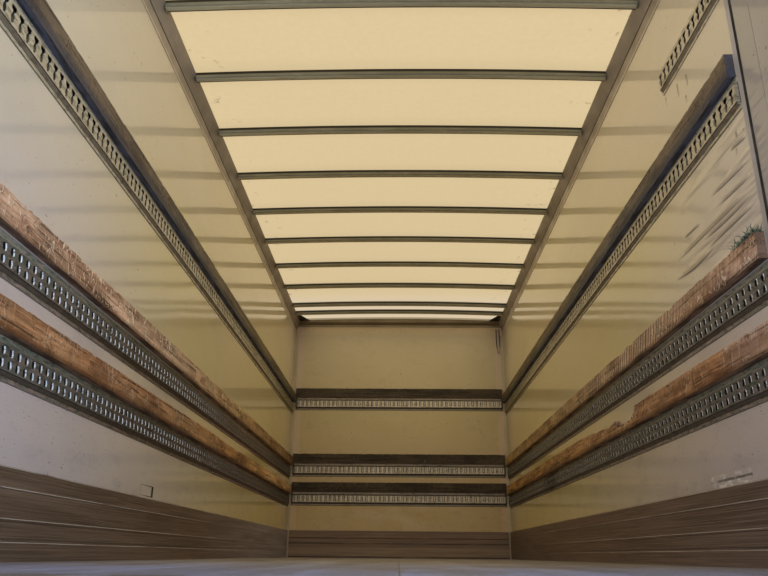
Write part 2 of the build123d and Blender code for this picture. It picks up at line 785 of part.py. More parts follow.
with BuildPart() as side_fittings:
    for place in side_hinge_places:
        with BuildSketch(Plane.XY.offset(place - side_knuckle)):
            with BuildLine():
                Polyline((flange_out, side_pivot_y - side_barrel - side_strap),
                         (flange_out + side_plate, side_pivot_y - side_barrel - side_strap),
                         (side_pivot_x, side_pivot_y - side_barrel),
                         (side_pivot_x, side_pivot_y), (side_pivot_x - side_barrel, side_pivot_y),
                         (flange_out, door_front_y), close=True)
            make_face()
            with Locations((side_pivot_x, side_pivot_y)):
                Circle(side_barrel)
        extrude(amount=2 * side_knuckle)
save(side_fittings, "side_door_hinges")

handle_pan = (130, 90)
handle_depth = 6
handle_z = floor_z + 1050
handle_inset = 120
with BuildPart() as side_handle:
    with BuildSketch(Plane.YZ.offset(flange_out)):
        with Locations((leaf_rear_y + handle_inset, handle_z)):
            Rectangle(*handle_pan)
    extrude(amount=handle_depth)
    chamfer(side_handle.edges().filter_by(Axis.X), handle_depth)
    with BuildSketch(Plane.YZ.offset(flange_out + handle_depth / 2)):
        with Locations((leaf_rear_y + handle_inset, handle_z)):
            Rectangle(handle_pan[0] - 4 * handle_depth, handle_pan[1] - 4 * handle_depth)
    extrude(amount=handle_depth / 2, mode=Mode.SUBTRACT)
    with BuildSketch(Plane.YZ.offset(flange_out + handle_depth / 2)):
        with Locations((leaf_rear_y + handle_inset, handle_z)):
            Rectangle(handle_pan[0] - 8 * handle_depth, 4 * handle_depth)
    extrude(amount=handle_depth)
save(side_handle, "side_door_handle")

side_seal = 4
with BuildPart() as side_seal_ring:
    with BuildSketch(Plane.YZ.offset(half_in + side_seal)):
        with Locations((side_leaf_mid, side_leaf_z)):
            Rectangle(side_leaf_width + 2 * side_seal, side_leaf_height + 2 * side_seal)
            Rectangle(side_leaf_width, side_leaf_height, mode=Mode.SUBTRACT)
    extrude(amount=wall - 2 * side_seal)
save(side_seal_ring, "side_door_seal")

# Rear leaves, their strap hinges, lock rods and seals, on the side given by s.
leaf_out_x = pivot_x + pivot_back
leaf_in_x = leaf_out_x + leaf_thick
leaf_root_y = pivot_y + leaf_root
leaf_tip_y = leaf_root_y + leaf_width
leaf_mid_y = (leaf_root_y + leaf_tip_y) / 2
leaf_height = leaf_top - leaf_bottom
leaf_mid_z = (leaf_top + leaf_bottom) / 2
rod_places = (leaf_root_y + 330, leaf_tip_y - 130)
rod_x = leaf_out_x - rod_standoff
guide_places = (180, leaf_height / 2, leaf_height - 180)
guide_half = rod_radius + rod_fit + guide_wall
handle_bar = (10, 350, 30)
handle_height = floor_z + 900
for side, s in sides:
    with BuildPart() as rear_leaf:
        with BuildSketch(Plane.YZ.offset(s * (leaf_out_x + leaf_thick / 2))):
            with Locations((leaf_mid_y, leaf_mid_z)):
                Rectangle(leaf_width, leaf_height)
        extrude(amount=leaf_thick / 2, both=True)
        chamfer(rear_leaf.edges().filter_by(Axis.Z), lap)
    save(rear_leaf, f"rear_leaf_{side}")

    with BuildPart() as seal:
        with BuildSketch(Plane.YZ.offset(s * (leaf_in_x + seal_thick / 2))):
            with Locations((leaf_mid_y, leaf_mid_z)):
                Rectangle(leaf_width - 2 * lap, leaf_height - 2 * lap)
                Rectangle(leaf_width - 2 * lap - 2 * seal_width, leaf_height - 2 * lap - 2 * seal_width,
                          mode=Mode.SUBTRACT)
        extrude(amount=seal_thick / 2, both=True)
    save(seal, f"rear_seal_{side}")

    with BuildPart() as straps:
        for place in hinge_places:
            with BuildSketch(Plane.XY.offset(place - knuckle_half)):
                with BuildLine():
                    Polyline((s * leaf_out_x, leaf_root_y + strap_length),
                             (s * (leaf_out_x - strap_sheet), leaf_root_y + strap_length),
                             (s * (leaf_out_x - strap_sheet), leaf_root_y + strap_sheet),
                             (s * pivot_x, pivot_y + barrel_radius), (s * pivot_x, pivot_y),
                             (s * (pivot_x + barrel_radius), pivot_y),
                             (s * leaf_out_x, leaf_root_y), close=True)
                make_face()
                with Locations((s * pivot_x, pivot_y)):
                    Circle(barrel_radius)
            extrude(amount=2 * knuckle_half)
    save(straps, f"rear_hinges_{side}")

    with BuildPart() as locks:
        for rod_y in rod_places:
            with BuildSketch(Plane.XY.offset(leaf_bottom - rod_over + cam_thick)):
                with Locations((s * rod_x, rod_y)):
                    Circle(rod_radius)
            extrude(amount=leaf_height + 2 * (rod_over - cam_thick))
            with BuildSketch(Plane.XY.offset(leaf_bottom - rod_over)):
                with Locations((s * rod_x, rod_y)):
                    Rectangle(2 * cam_half, 2 * cam_half)
            extrude(amount=cam_thick)
            with BuildSketch(Plane.XY.offset(leaf_top + rod_over - cam_thick)):
                with Locations((s * rod_x, rod_y)):
                    Rectangle(2 * cam_half, 2 * cam_half)
            extrude(amount=cam_thick)
            for guide in guide_places:
                with BuildSketch(Plane.XY.offset(leaf_bottom + guide - guide_height / 2)):
                    for d in (-1, 1):
                        with Locations((s * (leaf_out_x + rod_x) / 2, rod_y + d * (guide_half - guide_wall / 2))):
                            Rectangle(leaf_out_x - rod_x, guide_wall)
                    with Locations((s * (leaf_out_x - guide_wall / 4), rod_y)):
                        Rectangle(guide_wall / 2, 2 * guide_half)
                extrude(amount=guide_height)
        for rod_y, d in zip(rod_places, (1, -1)):
            with Locations((s * rod_x, rod_y + d * handle_bar[1] / 2, handle_height)):
                Box(*handle_bar)
    save(locks, f"rear_locks_{side}")

# Keepers on the rear frame, two cheeks for each cam of the closed leaves.
keeper_reach = leaf_gap + leaf_thick + rod_standoff + cam_half
keeper_height = cam_thick + 2 * keeper_gap
keeper_offset = cam_half + keeper_gap + keeper_sheet / 2
with BuildPart() as lock_keepers:
    for keeper_z in (leaf_bottom - rod_over - keeper_gap, leaf_top + rod_over - cam_thick - keeper_gap):
        with BuildSketch(Plane.XY.offset(keeper_z)):
            for s in (-1, 1):
                for rod_y in rod_places:
                    for d in (-1, 1):
                        with Locations((s * (pivot_x - (rod_y - pivot_y)) + d * keeper_offset,
                                        rear_y - keeper_reach / 2)):
                            Rectangle(keeper_sheet, keeper_reach)
        extrude(amount=keeper_height)
save(lock_keepers, "lock_keepers")

# Rubber stops on the outer frame, just short of the leaves that are folded back.
stop_z = (floor_z + rave_top) / 2
with BuildPart() as door_stops:
    for s in (-1, 1):
        with BuildSketch(Plane.YZ.offset(s * half_lap)):
            with Locations((leaf_tip_y - stop_size[1], stop_z)):
                Rectangle(*stop_size)
        extrude(amount=s * (leaf_out_x - stop_gap - half_lap))
save(door_stops, "door_stops")

# Side marker lamps.
with BuildPart() as marker_lamps:
    for s in (-1, 1):
        for place in lamp_places:
            with BuildSketch(Plane.YZ.offset(s * half_lap)):
                with Locations((place, (rave_bottom + floor_z) / 2)):
                    Rectangle(*lamp_size)
            extrude(amount=s * lamp_depth)
save(marker_lamps, "marker_lamps")
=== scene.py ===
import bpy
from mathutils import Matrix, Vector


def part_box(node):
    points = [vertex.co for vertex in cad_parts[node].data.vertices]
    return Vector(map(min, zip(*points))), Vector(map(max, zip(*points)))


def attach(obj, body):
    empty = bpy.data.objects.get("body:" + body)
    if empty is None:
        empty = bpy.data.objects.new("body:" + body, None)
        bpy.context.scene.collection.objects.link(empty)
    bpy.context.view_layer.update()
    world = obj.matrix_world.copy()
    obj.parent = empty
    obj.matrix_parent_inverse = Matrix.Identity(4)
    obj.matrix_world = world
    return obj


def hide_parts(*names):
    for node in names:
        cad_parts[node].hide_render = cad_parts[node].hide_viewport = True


bl_info = {
    "name": "Box body finishes",
    "version": (1, 0, 0),
    "blender": (4, 5, 0),
    "location": "View3D > Sidebar > Box body",
    "description": "Worn finishes, lashing rails, battens and fittings for the closed body of a box truck",
    "category": "Object",
}

from math import cos, pi, radians, sin

import bmesh
import bpy
import numpy as np
from mathutils import Matrix, Vector

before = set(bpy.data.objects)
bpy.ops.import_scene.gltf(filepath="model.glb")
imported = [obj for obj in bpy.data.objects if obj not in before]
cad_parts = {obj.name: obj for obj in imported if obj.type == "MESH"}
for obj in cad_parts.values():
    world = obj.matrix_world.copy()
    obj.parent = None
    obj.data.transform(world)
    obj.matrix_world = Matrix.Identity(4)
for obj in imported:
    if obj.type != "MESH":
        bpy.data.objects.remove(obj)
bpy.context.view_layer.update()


def low(node):
    """Lowest corner of a construction node."""
    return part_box(node)[0]


def high(node):
    """Highest corner of a construction node."""
    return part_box(node)[1]


# Places of the body, in metres, read from the construction model.
FLOOR_Z = high("floor_deck").z
HALF_IN = -high("wall_left").x
FRONT_Y = low("front_wall").y
WALL_TOP = high("wall_left").z
ROOF_LOW = high("cant_rail_left").z
SHEET = 0.0025
CROWN = high("roof_sheet").z - SHEET
ROOF_HALF = high("roof_sheet").x
ROOF_RADIUS = (ROOF_HALF ** 2 + (CROWN - ROOF_LOW) ** 2) / (2 * (CROWN - ROOF_LOW))
BOW_FIRST = high("roof_bows").y
BOW_SECOND = 3.5775
BOW_PITCH = 0.6096
BOW_WIDTH = 0.048
RUNS_LEFT = ((low("side_rail_upper_left").y, high("side_rail_upper_left").y),)
RUNS_RIGHT = (
    (low("side_rail_upper_right").y, low("side_door_frame").y - 0.001),
    (low("side_rail_short").y, high("side_rail_upper_right").y),
)
SIDES = (("left", -1, RUNS_LEFT), ("right", 1, RUNS_RIGHT))
# Heights over the load floor: a rail's centre and the underside of the batten over it.
ROWS = ((1.636, 1.704), (0.905, 0.984), (0.601, 0.670))
FRONT_ROWS = ((1.696, 1.764), (0.941, 1.009), (0.626, 0.694))


# Sizes and colours that a user would change.

def length(name, default, description):
    """A property for one length in metres."""
    return bpy.props.FloatProperty(name=name, description=description, default=default, unit="LENGTH")


def number(name, default, description):
    """A property for one plain number."""
    return bpy.props.FloatProperty(name=name, description=description, default=default)


def colour(name, default, description):
    """A property for one colour."""
    return bpy.props.FloatVectorProperty(name=name, description=description, default=default,
                                         subtype="COLOR", size=3, min=0, max=1)


class BoxBodySizes(bpy.types.PropertyGroup):
    slot_pitch: length("Slot pitch", 0.0508, "Distance between slots along every lashing rail")
    rail_height: length("Rail height", 0.134, "Height of a lashing rail with its flanges")
    rail_face: length("Rail face", 0.078, "Height of a lashing rail's flat face")
    rail_proud: length("Rail depth", 0.0155, "How far a lashing rail's face stands off the wall")
    rail_sheet: length("Rail sheet", 0.003, "Thickness of a lashing rail")
    rail_slope: length("Rail slope", 0.013, "Height of the slanted part beside a rail's face")
    batten_thick: length("Batten thickness", 0.033, "How far a batten stands off the wall")
    batten_wear: length("Batten wear", 0.009, "How deep the worst chips go into the battens")
    screw_pitch: length("Screw pitch", 0.2032, "Distance between the screws of a rail")
    rivet_pitch: length("Rivet pitch", 0.12, "Distance between rivets on the outer frame")


class BoxBodyColours(bpy.types.PropertyGroup):
    wall: colour("Wall", (0.615, 0.545, 0.400), "Plastic face of the walls, inside")
    wall_outside: colour("Outer wall", (0.74, 0.74, 0.72), "Plastic face of the walls, outside")
    rail_light: colour("Upper rails", (0.55, 0.50, 0.39), "Upper lashing rails")
    rail_front: colour("Front rails", (0.75, 0.69, 0.60), "Lashing rails on the front wall")
    rail_dark: colour("Lower rails", (0.125, 0.130, 0.120), "Lower lashing rails")
    # The tongues' near white is a painted glint, far brighter than the lower rails' sheet.
    tongue: colour("Tongues", (0.90, 0.92, 0.95), "Bent tongues in the lower rails' holes")
    wood_upper: colour("Upper battens", (0.158, 0.126, 0.095), "Stained upper battens")
    wood_middle: colour("Middle battens", (0.53, 0.375, 0.275), "Rubbed middle battens")
    wood_lower: colour("Lower battens", (0.48, 0.275, 0.145), "Lower battens, bare softwood")
    wood_front: colour("Front battens", (0.068, 0.050, 0.034), "Battens on the front wall")
    kick: colour("Kick boards", (0.106, 0.072, 0.052), "Coated boards at the foot of the side walls")
    kick_front: colour("Front kick board", (0.185, 0.130, 0.105), "Board at the foot of the front wall")
    # The deck's bluish grey is its coating together with a painted reflection of the sky.
    deck: colour("Deck", (0.165, 0.180, 0.250), "Coated deck boards")
    roof: colour("Roof sheet", (0.765, 0.600, 0.345), "Translucent roof sheet with daylight behind it")
    roof_glow: number("Roof glow", 0.96, "Strength of the daylight that comes through the roof sheet")
    # The bows' underside colour is painted light, and the sides' colour is painted shade.
    bow: colour("Roof bows", (0.78, 0.76, 0.55), "Undersides of the roof bows")
    bow_side_shaded: colour("Bow sides", (0.230, 0.220, 0.160), "Sides of the roof bows, and the gussets")
    cant: colour("Cant rails", (0.375, 0.320, 0.262), "Cant rails, inside")
    header: colour("Front header", (0.335, 0.275, 0.180), "Front header, inside")
    aluminium: colour("Aluminium", (0.50, 0.50, 0.49), "Outer frame and trims")
    steel: colour("Painted steel", (0.055, 0.057, 0.060), "Underframe and rear frame")


class BoxBodyView(bpy.types.PropertyGroup):
    distance: length("Camera distance", 8.668, "Distance from the front wall to the camera")
    height: length("Camera height", 0.0315, "Height of the camera over the load floor")
    side: length("Camera offset", -0.002, "Distance of the camera to the right of the middle")
    pitch: number("Pitch", 19.693, "Degrees that the camera looks up")
    yaw: number("Yaw", -1.2165, "Degrees that the camera looks to the right")
    roll: number("Roll", 0.529, "Degrees that the camera is rolled")
    lens: number("Lens", 35.0, "Focal length in millimetres")


def sizes():
    return bpy.context.scene.box_body_sizes


def colours():
    return bpy.context.scene.box_body_colours


# Surfaces from arrays of points.

def roof_z(x):
    """Height of the roof sheet's underside: a circle of the roof's radius through its crown."""
    return CROWN - ROOF_RADIUS + np.sqrt(ROOF_RADIUS ** 2 - np.asarray(x) ** 2)


def noise(places, cell, seed):
    """Smooth random values from -1 to 1 at an array of points: random numbers on a lattice of
    the given cell sizes, blended along each axis by the ramp 3t^2 - 2t^3."""
    p = np.asarray(places, float) / cell
    base = np.floor(p).astype(np.int64)
    ramp = (p - base) ** 2 * (3 - 2 * (p - base))
    total = 0
    for corner in np.ndindex(2, 2, 2):
        i = base + corner
        key = i[..., 0] * 73856093 ^ i[..., 1] * 19349663 ^ i[..., 2] * 83492791 ^ seed * 2654435761
        key = ((key & 0xFFFFFFFF) ^ (key >> 13 & 0x7FFFF)) * 1274126177 & 0xFFFFFFFF
        value = ((key ^ key >> 15) & 0xFFFF) / 32767.5 - 1
        weight = np.prod(np.where(corner, ramp, 1 - ramp), axis=-1)
        total = total + value * weight
    return total


def grid_quads(rows, columns, close_rows=False, close_columns=False):
    """Corners of the quads between neighbours of a grid of points, closed round where asked."""
    r, c = np.meshgrid(np.arange(rows - (not close_rows)), np.arange(columns - (not close_columns)),
                       indexing="ij")
    r1, c1 = (r + 1) % rows, (c + 1) % columns
    return np.stack([r * columns + c, r1 * columns + c, r1 * columns + c1, r * columns + c1],
                    -1).reshape(-1, 4)


class Surface:
    """Collects arrays of points and quads into one mesh."""

    def __init__(self):
        self.points, self.quads, self.slots, self.count = [], [], [], 0

    def grid(self, points, close_rows=False, close_columns=False, slot=0):
        """Adds one grid of points (rows, columns, 3), or many grids at once (grids, rows, columns, 3)."""
        rows, columns = points.shape[-3:-1]
        points = points.reshape(-1, rows * columns, 3)
        quads = grid_quads(rows, columns, close_rows, close_columns)
        step = np.arange(len(points))[:, None, None] * (rows * columns)
        quads = (quads[None] + step).reshape(-1, 4) + self.count
        self.points.append(points.reshape(-1, 3))
        self.quads.append(quads)
        self.slots.append(np.full(len(quads), slot))
        self.count += points.shape[0] * points.shape[1]

    def piece(self, name, body, materials, stands_for=(), weld=1e-5, smooth=30, outward=True):
        """Makes the mesh, merges equal points, turns its faces outwards and lets it ride."""
        mesh = bpy.data.meshes.new(name)
        mesh.from_pydata(np.concatenate(self.points), [], np.concatenate(self.quads))
        mesh.polygons.foreach_set("material_index", np.concatenate(self.slots).astype(np.int32))
        work = bmesh.new()
        work.from_mesh(mesh)
        bmesh.ops.remove_doubles(work, verts=work.verts, dist=weld)
        bmesh.ops.dissolve_degenerate(work, edges=work.edges, dist=weld / 10)
        if outward:
            bmesh.ops.recalc_face_normals(work, faces=work.faces)
        work.to_mesh(mesh)
        work.free()
        if smooth:
            mesh.polygons.foreach_set("use_smooth", np.ones(len(mesh.polygons), bool))
            mesh.set_sharp_from_angle(angle=radians(smooth))
        for material in materials:
            mesh.materials.append(material)
        made = bpy.data.objects.new(name, mesh)
        bpy.context.scene.collection.objects.link(made)
        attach(made, body)
        if stands_for:
            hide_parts(*stands_for)
        return made


def together(*parts):
    """Arrays or numbers of like shape stacked into an array of points."""
    return np.stack(np.broadcast_arrays(*parts), -1)


def capped(rings):
    """Rings of points closed at both ends by a ring shrunk to its middle."""
    first, last = (end.mean(1, keepdims=True) + 0 * end for end in (rings[:1], rings[-1:]))
    return np.concatenate([first, rings, last])


def wall_map(side):
    """How points (along, depth off the wall, height) become places on a side wall."""
    return lambda p: together(side * (HALF_IN - p[..., 1]), p[..., 0], FLOOR_Z + p[..., 2])


def front_map(p):
    """How points (along, depth off the wall, height) become places on the front wall."""
    return together(p[..., 0], FRONT_Y - p[..., 1], FLOOR_Z + p[..., 2])


# Shader groups.

def fill(tree, node, inputs):
    """Sets a node's inputs to values, or links them to sockets."""
    for key, value in inputs.items():
        if isinstance(value, bpy.types.NodeSocket):
            tree.links.new(value, node.inputs[key])
        else:
            node.inputs[key].default_value = value


def put(tree, kind, inputs=None, **settings):
    """A shader node with its settings, and its inputs set or linked."""
    made = tree.nodes.new("ShaderNode" + kind)
    for key, value in settings.items():
        setattr(made, key, value)
    fill(tree, made, inputs or {})
    return made


class Graph:
    """Short ways to add shader nodes to one tree."""

    def __init__(self, tree):
        self.tree = tree

    def put(self, kind, inputs=None, **settings):
        return put(self.tree, kind, inputs, **settings)

    def math(self, operation, a, b=0.0):
        return self.put("Math", {0: a, 1: b}, operation=operation).outputs[0]

    def vector(self, operation, a, b):
        return self.put("VectorMath", {0: a, 1: b}, operation=operation).outputs[0]

    def noise(self, place, scale, detail, **more):
        inputs = {"Vector": place, "Scale": scale, "Detail": detail, **more}
        return self.put("TexNoise", inputs).outputs["Fac"]

    def split(self, vector):
        return self.put("SeparateXYZ", {0: vector}).outputs

    def facing(self, axis):
        """One part of the direction that a face looks in."""
        return self.split(self.put("NewGeometry").outputs["Normal"])[axis]

    def times(self, *factors):
        total = factors[0]
        for factor in factors[1:]:
            total = self.math("MULTIPLY", total, factor)
        return total

    def most(self, masks):
        """The largest of several masks."""
        total = masks[0]
        for mask in masks[1:]:
            total = self.math("MAXIMUM", total, mask)
        return total

    def off(self, value, centre):
        """Distance of a value from a centre."""
        return self.math("ABSOLUTE", self.math("SUBTRACT", value, centre))

    def band(self, value, centre, half):
        """1 where a value lies within half of a centre."""
        return self.math("LESS_THAN", self.off(value, centre), half)

    def ramp(self, value, start, end, first=0.0, last=1.0, kind="SMOOTHSTEP"):
        """A value mapped from one range to another and held at its ends."""
        return self.put("MapRange", {"Value": value, "From Min": start, "From Max": end, "To Min": first,
                                     "To Max": last}, interpolation_type=kind).outputs[0]

    def blend(self, factor, a, b):
        """Number a changed towards number b by a factor."""
        return self.put("Mix", {"Factor": factor, 2: a, 3: b}).outputs[0]


class Group(Graph):
    """A shared node group: a place and other inputs with their defaults, and masks or values out."""

    def __init__(self, name, outputs=("Mask",), **inputs):
        super().__init__(bpy.data.node_groups.new(name, "ShaderNodeTree"))
        for key, value in {"Place": (0, 0, 0), **inputs}.items():
            kind = "Vector" if isinstance(value, tuple) else "Float"
            socket = self.tree.interface.new_socket(key, in_out="INPUT", socket_type="NodeSocket" + kind)
            socket.default_value = value
        for key in outputs:
            self.tree.interface.new_socket(key, in_out="OUTPUT", socket_type="NodeSocketFloat")
        self.given = self.tree.nodes.new("NodeGroupInput").outputs
        self.taken = self.tree.nodes.new("NodeGroupOutput").inputs

    def give(self, key, value):
        self.tree.links.new(value, self.taken[key])


def patches_group():
    """Random patches: noise on stretched coordinates, cut between two levels."""
    g = Group("Patches", Stretch=(1, 1, 1), Detail=4.0, Low=0.4, High=0.6)
    place = g.vector("MULTIPLY", g.given["Place"], g.given["Stretch"])
    cloud = g.noise(place, 1.0, g.given["Detail"], Roughness=0.58)
    g.give("Mask", g.ramp(cloud, g.given["Low"], g.given["High"]))


def region_group():
    """A soft box: 1 between two corners, falling to 0 over a margin outside them."""
    g = Group("Region", From=(0, 0, 0), To=(1, 1, 1), Margin=0.02)
    below = g.vector("SUBTRACT", g.given["From"], g.given["Place"])
    above = g.vector("SUBTRACT", g.given["Place"], g.given["To"])
    outside = g.most(g.split(g.vector("MAXIMUM", below, above)))
    g.give("Mask", g.ramp(outside, 0.0, g.given["Margin"], 1.0, 0.0))


def edge_group():
    """Worn edges: where a rounded normal leaves the face's own, broken up by noise."""
    g = Group("Edge wear", Radius=0.004, Scale=40.0)
    rounded = g.put("Bevel", {"Radius": g.given["Radius"]}, samples=4).outputs[0]
    face = g.put("NewGeometry").outputs["Normal"]
    near = g.put("VectorMath", {0: rounded, 1: face}, operation="DOT_PRODUCT")
    bare = g.ramp(near.outputs["Value"], 0.995, 0.90, kind="LINEAR")
    broken = g.ramp(g.noise(g.given["Place"], g.given["Scale"], 4.0), 0.42, 0.58, kind="LINEAR")
    g.give("Mask", g.times(bare, broken))


def dust_group():
    """Dust that settles on what faces up, thicker in patches."""
    g = Group("Settled dust", Amount=0.6)
    up = g.ramp(g.facing(2), 0.3, 0.95, kind="LINEAR")
    patchy = g.ramp(g.noise(g.given["Place"], 9.0, 5.0), 0.3, 0.7, 0.35, 1.0, "LINEAR")
    g.give("Mask", g.times(up, patchy, g.given["Amount"]))


def grain_group():
    """Timber grain along the stretched axis: bent growth lines with fine pores between them."""
    g = Group("Timber grain", ("Tone", "Height"), Stretch=(60, 2, 60))
    place = g.vector("MULTIPLY", g.given["Place"], g.given["Stretch"])
    lines = g.noise(place, 1.0, 3.0, Roughness=0.5, Distortion=0.6)
    finer = g.put("VectorMath", {0: place, "Scale": 5.0}, operation="SCALE").outputs[0]
    tone = g.blend(0.4, lines, g.noise(finer, 1.0, 5.0, Roughness=0.7))
    g.give("Tone", g.ramp(tone, 0.3, 0.7, kind="LINEAR"))
    g.give("Height", tone)


def fold_group():
    """One fold pressed into the right wall: a line bent between two points (along, height), soft
    across its width and fading at both ends."""
    g = Group("Fold", From=(0, 0, 0), To=(0, 1, 1), Bend=0.01, Width=0.01)
    place, start, end = (g.split(g.given[key]) for key in ("Place", "From", "To"))
    t = g.math("DIVIDE", g.math("SUBTRACT", place[1], start[1]), g.math("SUBTRACT", end[1], start[1]))
    ends = g.times(t, g.math("SUBTRACT", 1.0, t))
    bow = g.times(ends, g.given["Bend"], 4.0)
    rise = g.times(g.math("SUBTRACT", end[2], start[2]), t)
    line = g.math("ADD", g.math("ADD", start[2], bow), rise)
    soft = g.ramp(g.math("DIVIDE", g.off(place[2], line), g.given["Width"]), 0.0, 1.0, 1.0, 0.0)
    right = g.math("GREATER_THAN", place[0], 0.0)
    g.give("Mask", g.times(soft, g.ramp(ends, 0.0, 0.25), right))


# How far beyond the walls' inner faces the outside begins.
SKIN = 0.005


class Finish(Graph):
    """One material: a Principled shader fed by the shared groups, with a base colour in layers."""

    def __init__(self, name, metallic=0.0, roughness=0.5, along="Y", **constants):
        self.material = bpy.data.materials.new(name)
        self.material.use_nodes = True
        super().__init__(self.material.node_tree)
        self.shader = self.tree.nodes["Principled BSDF"]
        for key, value in {"Metallic": metallic, "Roughness": roughness, **constants}.items():
            self.shader.inputs[key.replace("_", " ")].default_value = value
        self.place = self.put("TexCoord").outputs["Object"]
        self.x, self.y, self.z = self.split(self.place)
        self.along, self.base, self.bumps = along, None, None

    def group(self, name, **inputs):
        made = self.put("Group", node_tree=bpy.data.node_groups[name])
        fill(self.tree, made, {"Place": self.place, **inputs})
        return made.outputs

    def patches(self, stretch, low_level=0.4, high_level=0.6, detail=4.0):
        if not hasattr(stretch, "__len__"):
            stretch = (stretch,) * 3
        return self.group("Patches", Stretch=stretch, Low=low_level, High=high_level, Detail=detail)["Mask"]

    def stretch(self, across, run):
        """Scales across the piece and along it, in the order x, y, z."""
        return (across, run, across) if self.along == "Y" else (run, across, across)

    def streaks(self, across, run, *levels):
        """Patches stretched along the piece."""
        return self.patches(self.stretch(across, run), *levels)

    def region(self, start, end, margin):
        return self.group("Region", From=start, To=end, Margin=margin)["Mask"]

    def wall_box(self, start, end, margin, x=1.2):
        """A soft box on a side wall between two corners (along, height), 0.1 m deep from x on."""
        return self.region((x, *start), (x + 0.1, *end), margin)

    def aside(self):
        """Distance from the middle plane."""
        return self.math("ABSOLUTE", self.x)

    def left(self):
        """1 on the left half of the body."""
        return self.math("LESS_THAN", self.x, 0.0)

    def right(self):
        """1 on the right half of the body."""
        return self.math("GREATER_THAN", self.x, 0.0)

    def outside(self):
        """1 on what lies outside the inner faces of side and front walls."""
        return self.most([self.math("GREATER_THAN", self.aside(), HALF_IN + SKIN),
                          self.math("GREATER_THAN", self.y, FRONT_Y + SKIN)])

    def mix(self, factor, a, b, blend="MIX"):
        """Colour a changed towards colour b by a factor."""
        made = self.put("Mix", {"Factor": factor}, data_type="RGBA", blend_type=blend)
        fill(self.tree, made, {key: c if isinstance(c, bpy.types.NodeSocket) else (*c, 1)
                               for key, c in ((6, a), (7, b))})
        return made.outputs[2]

    def over(self, colour, *factors):
        """Lays a colour over the base by the product of factors."""
        self.base = self.mix(self.times(*factors), self.base, colour)

    def product(self, colour):
        """The base multiplied by a colour."""
        return self.mix(1.0, self.base, colour, "MULTIPLY")

    def tint(self, colour, *factors):
        """Multiplies the base by a colour, by the product of factors."""
        self.over(self.product(colour), *factors)

    def edges(self, radius, scale):
        """1 on edges that are rubbed bare."""
        return self.group("Edge wear", Radius=radius, Scale=scale)["Mask"]

    def dust(self, colour, amount):
        """Lays settled dust over the base."""
        self.over(colour, self.group("Settled dust", Amount=amount)["Mask"])

    def bump(self, height, distance, strength=1.0):
        """One more layer of relief over those already there."""
        inputs = {"Height": height, "Distance": distance, "Strength": strength}
        if self.bumps is not None:
            inputs["Normal"] = self.bumps
        self.bumps = self.put("Bump", inputs).outputs[0]

    def done(self, roughness=None):
        found = {"Base Color": self.base, "Roughness": roughness, "Normal": self.bumps}
        fill(self.tree, self.shader, {key: value for key, value in found.items() if value is not None})
        return self.material


def shade(value, factor):
    """A colour made darker or lighter by a factor."""
    return tuple(min(1.0, v * factor) for v in value)


# Finishes.

# The dark of a narrow gap: painted shade behind the rails and at the rail ends in the front corners, and the
# front battens' stain.
GAP = (0.02, 0.016, 0.012)
# Folds pressed into the right wall by the side door: along and height at both ends, bend, width.
FOLDS = (
    ((-1.30, 1.528), (-2.06, 1.512), 0.001, 0.011),
    ((-1.27, 1.455), (-1.70, 1.438), -0.014, 0.011),
    ((-1.60, 1.503), (-2.06, 1.494), -0.009, 0.008),
    ((-1.62, 1.452), (-2.07, 1.448), 0.004, 0.009),
    ((-1.72, 1.640), (-2.07, 1.618), -0.004, 0.009),
    ((-1.78, 1.575), (-2.07, 1.560), -0.003, 0.008),
    ((-1.94, 1.724), (-2.08, 1.706), 0.000, 0.010),
    ((-1.42, 1.590), (-1.60, 1.580), 0.000, 0.006),
)
# Dark smudges on the right wall: along, height and how tall.
SMUDGES = ((-1.672, 2.226, 0.05), (-1.640, 2.150, 0.03), (-1.568, 2.243, 0.06), (-1.429, 2.281, 0.04),
           (-2.007, 1.753, 0.022), (-1.987, 1.690, 0.018), (-1.305, 1.607, 0.010))
# Rust spots on the front wall: across, height and radius.
FRONT_SPOTS = ((0.02, 2.30, 0.012), (0.14, 2.38, 0.008), (0.06, 2.10, 0.012), (-0.62, 2.13, 0.008),
               (-0.95, 2.22, 0.006), (0.55, 1.72, 0.008), (0.92, 1.75, 0.012), (-0.80, 1.66, 0.007))


def wall_ground(f, front):
    """A wall's cream ground with what the light does to it. Gives how far it was handled: 1 low
    on the wall and 0 out of reach."""
    wall = colours().wall
    f.base = f.mix(f.patches((0.5, 0.35, 0.7), 0.35, 0.65), wall, shade(wall, 0.93))
    f.over(shade(wall, 0.72), f.patches((3, 1.2, 4), 0.5, 0.8, 6.0), 0.22)
    handled = f.ramp(f.z, FLOOR_Z + 1.5, FLOOR_Z + 0.3)
    f.over((0.30, 0.25, 0.22), f.patches((5, 5, 12), 0.5, 0.72, 7.0), handled, 0.22)
    # Painted light: bluer near the doorway, yellower far from it and in the middle.
    f.tint((1.00, 0.98, 1.36), f.ramp(f.y, 0.8, -2.4), f.ramp(f.z, FLOOR_Z + 1.9, FLOOR_Z + 0.5, 0.22, 1.0))
    f.tint((1.02, 0.97, 0.60), f.ramp(f.y, -0.8, 3.2), f.ramp(f.z, FLOOR_Z + 2.5, FLOOR_Z + 0.4, 0.1, 1.0))
    f.tint((1.02, 1.00, 0.76), f.ramp(f.off(f.y, -0.5), 1.5, 0.2),
           f.ramp(f.off(f.z, FLOOR_Z + 1.40), 0.75, 0.25))
    # Painted shade: the side walls darken towards the front corners, the right one more.
    if not front:
        corner = f.mix(f.right(), (0.82, 0.82, 0.82), (0.62, 0.62, 0.62))
        f.tint(corner, f.ramp(f.y, FRONT_Y - 0.60, FRONT_Y - 0.04))
    return handled


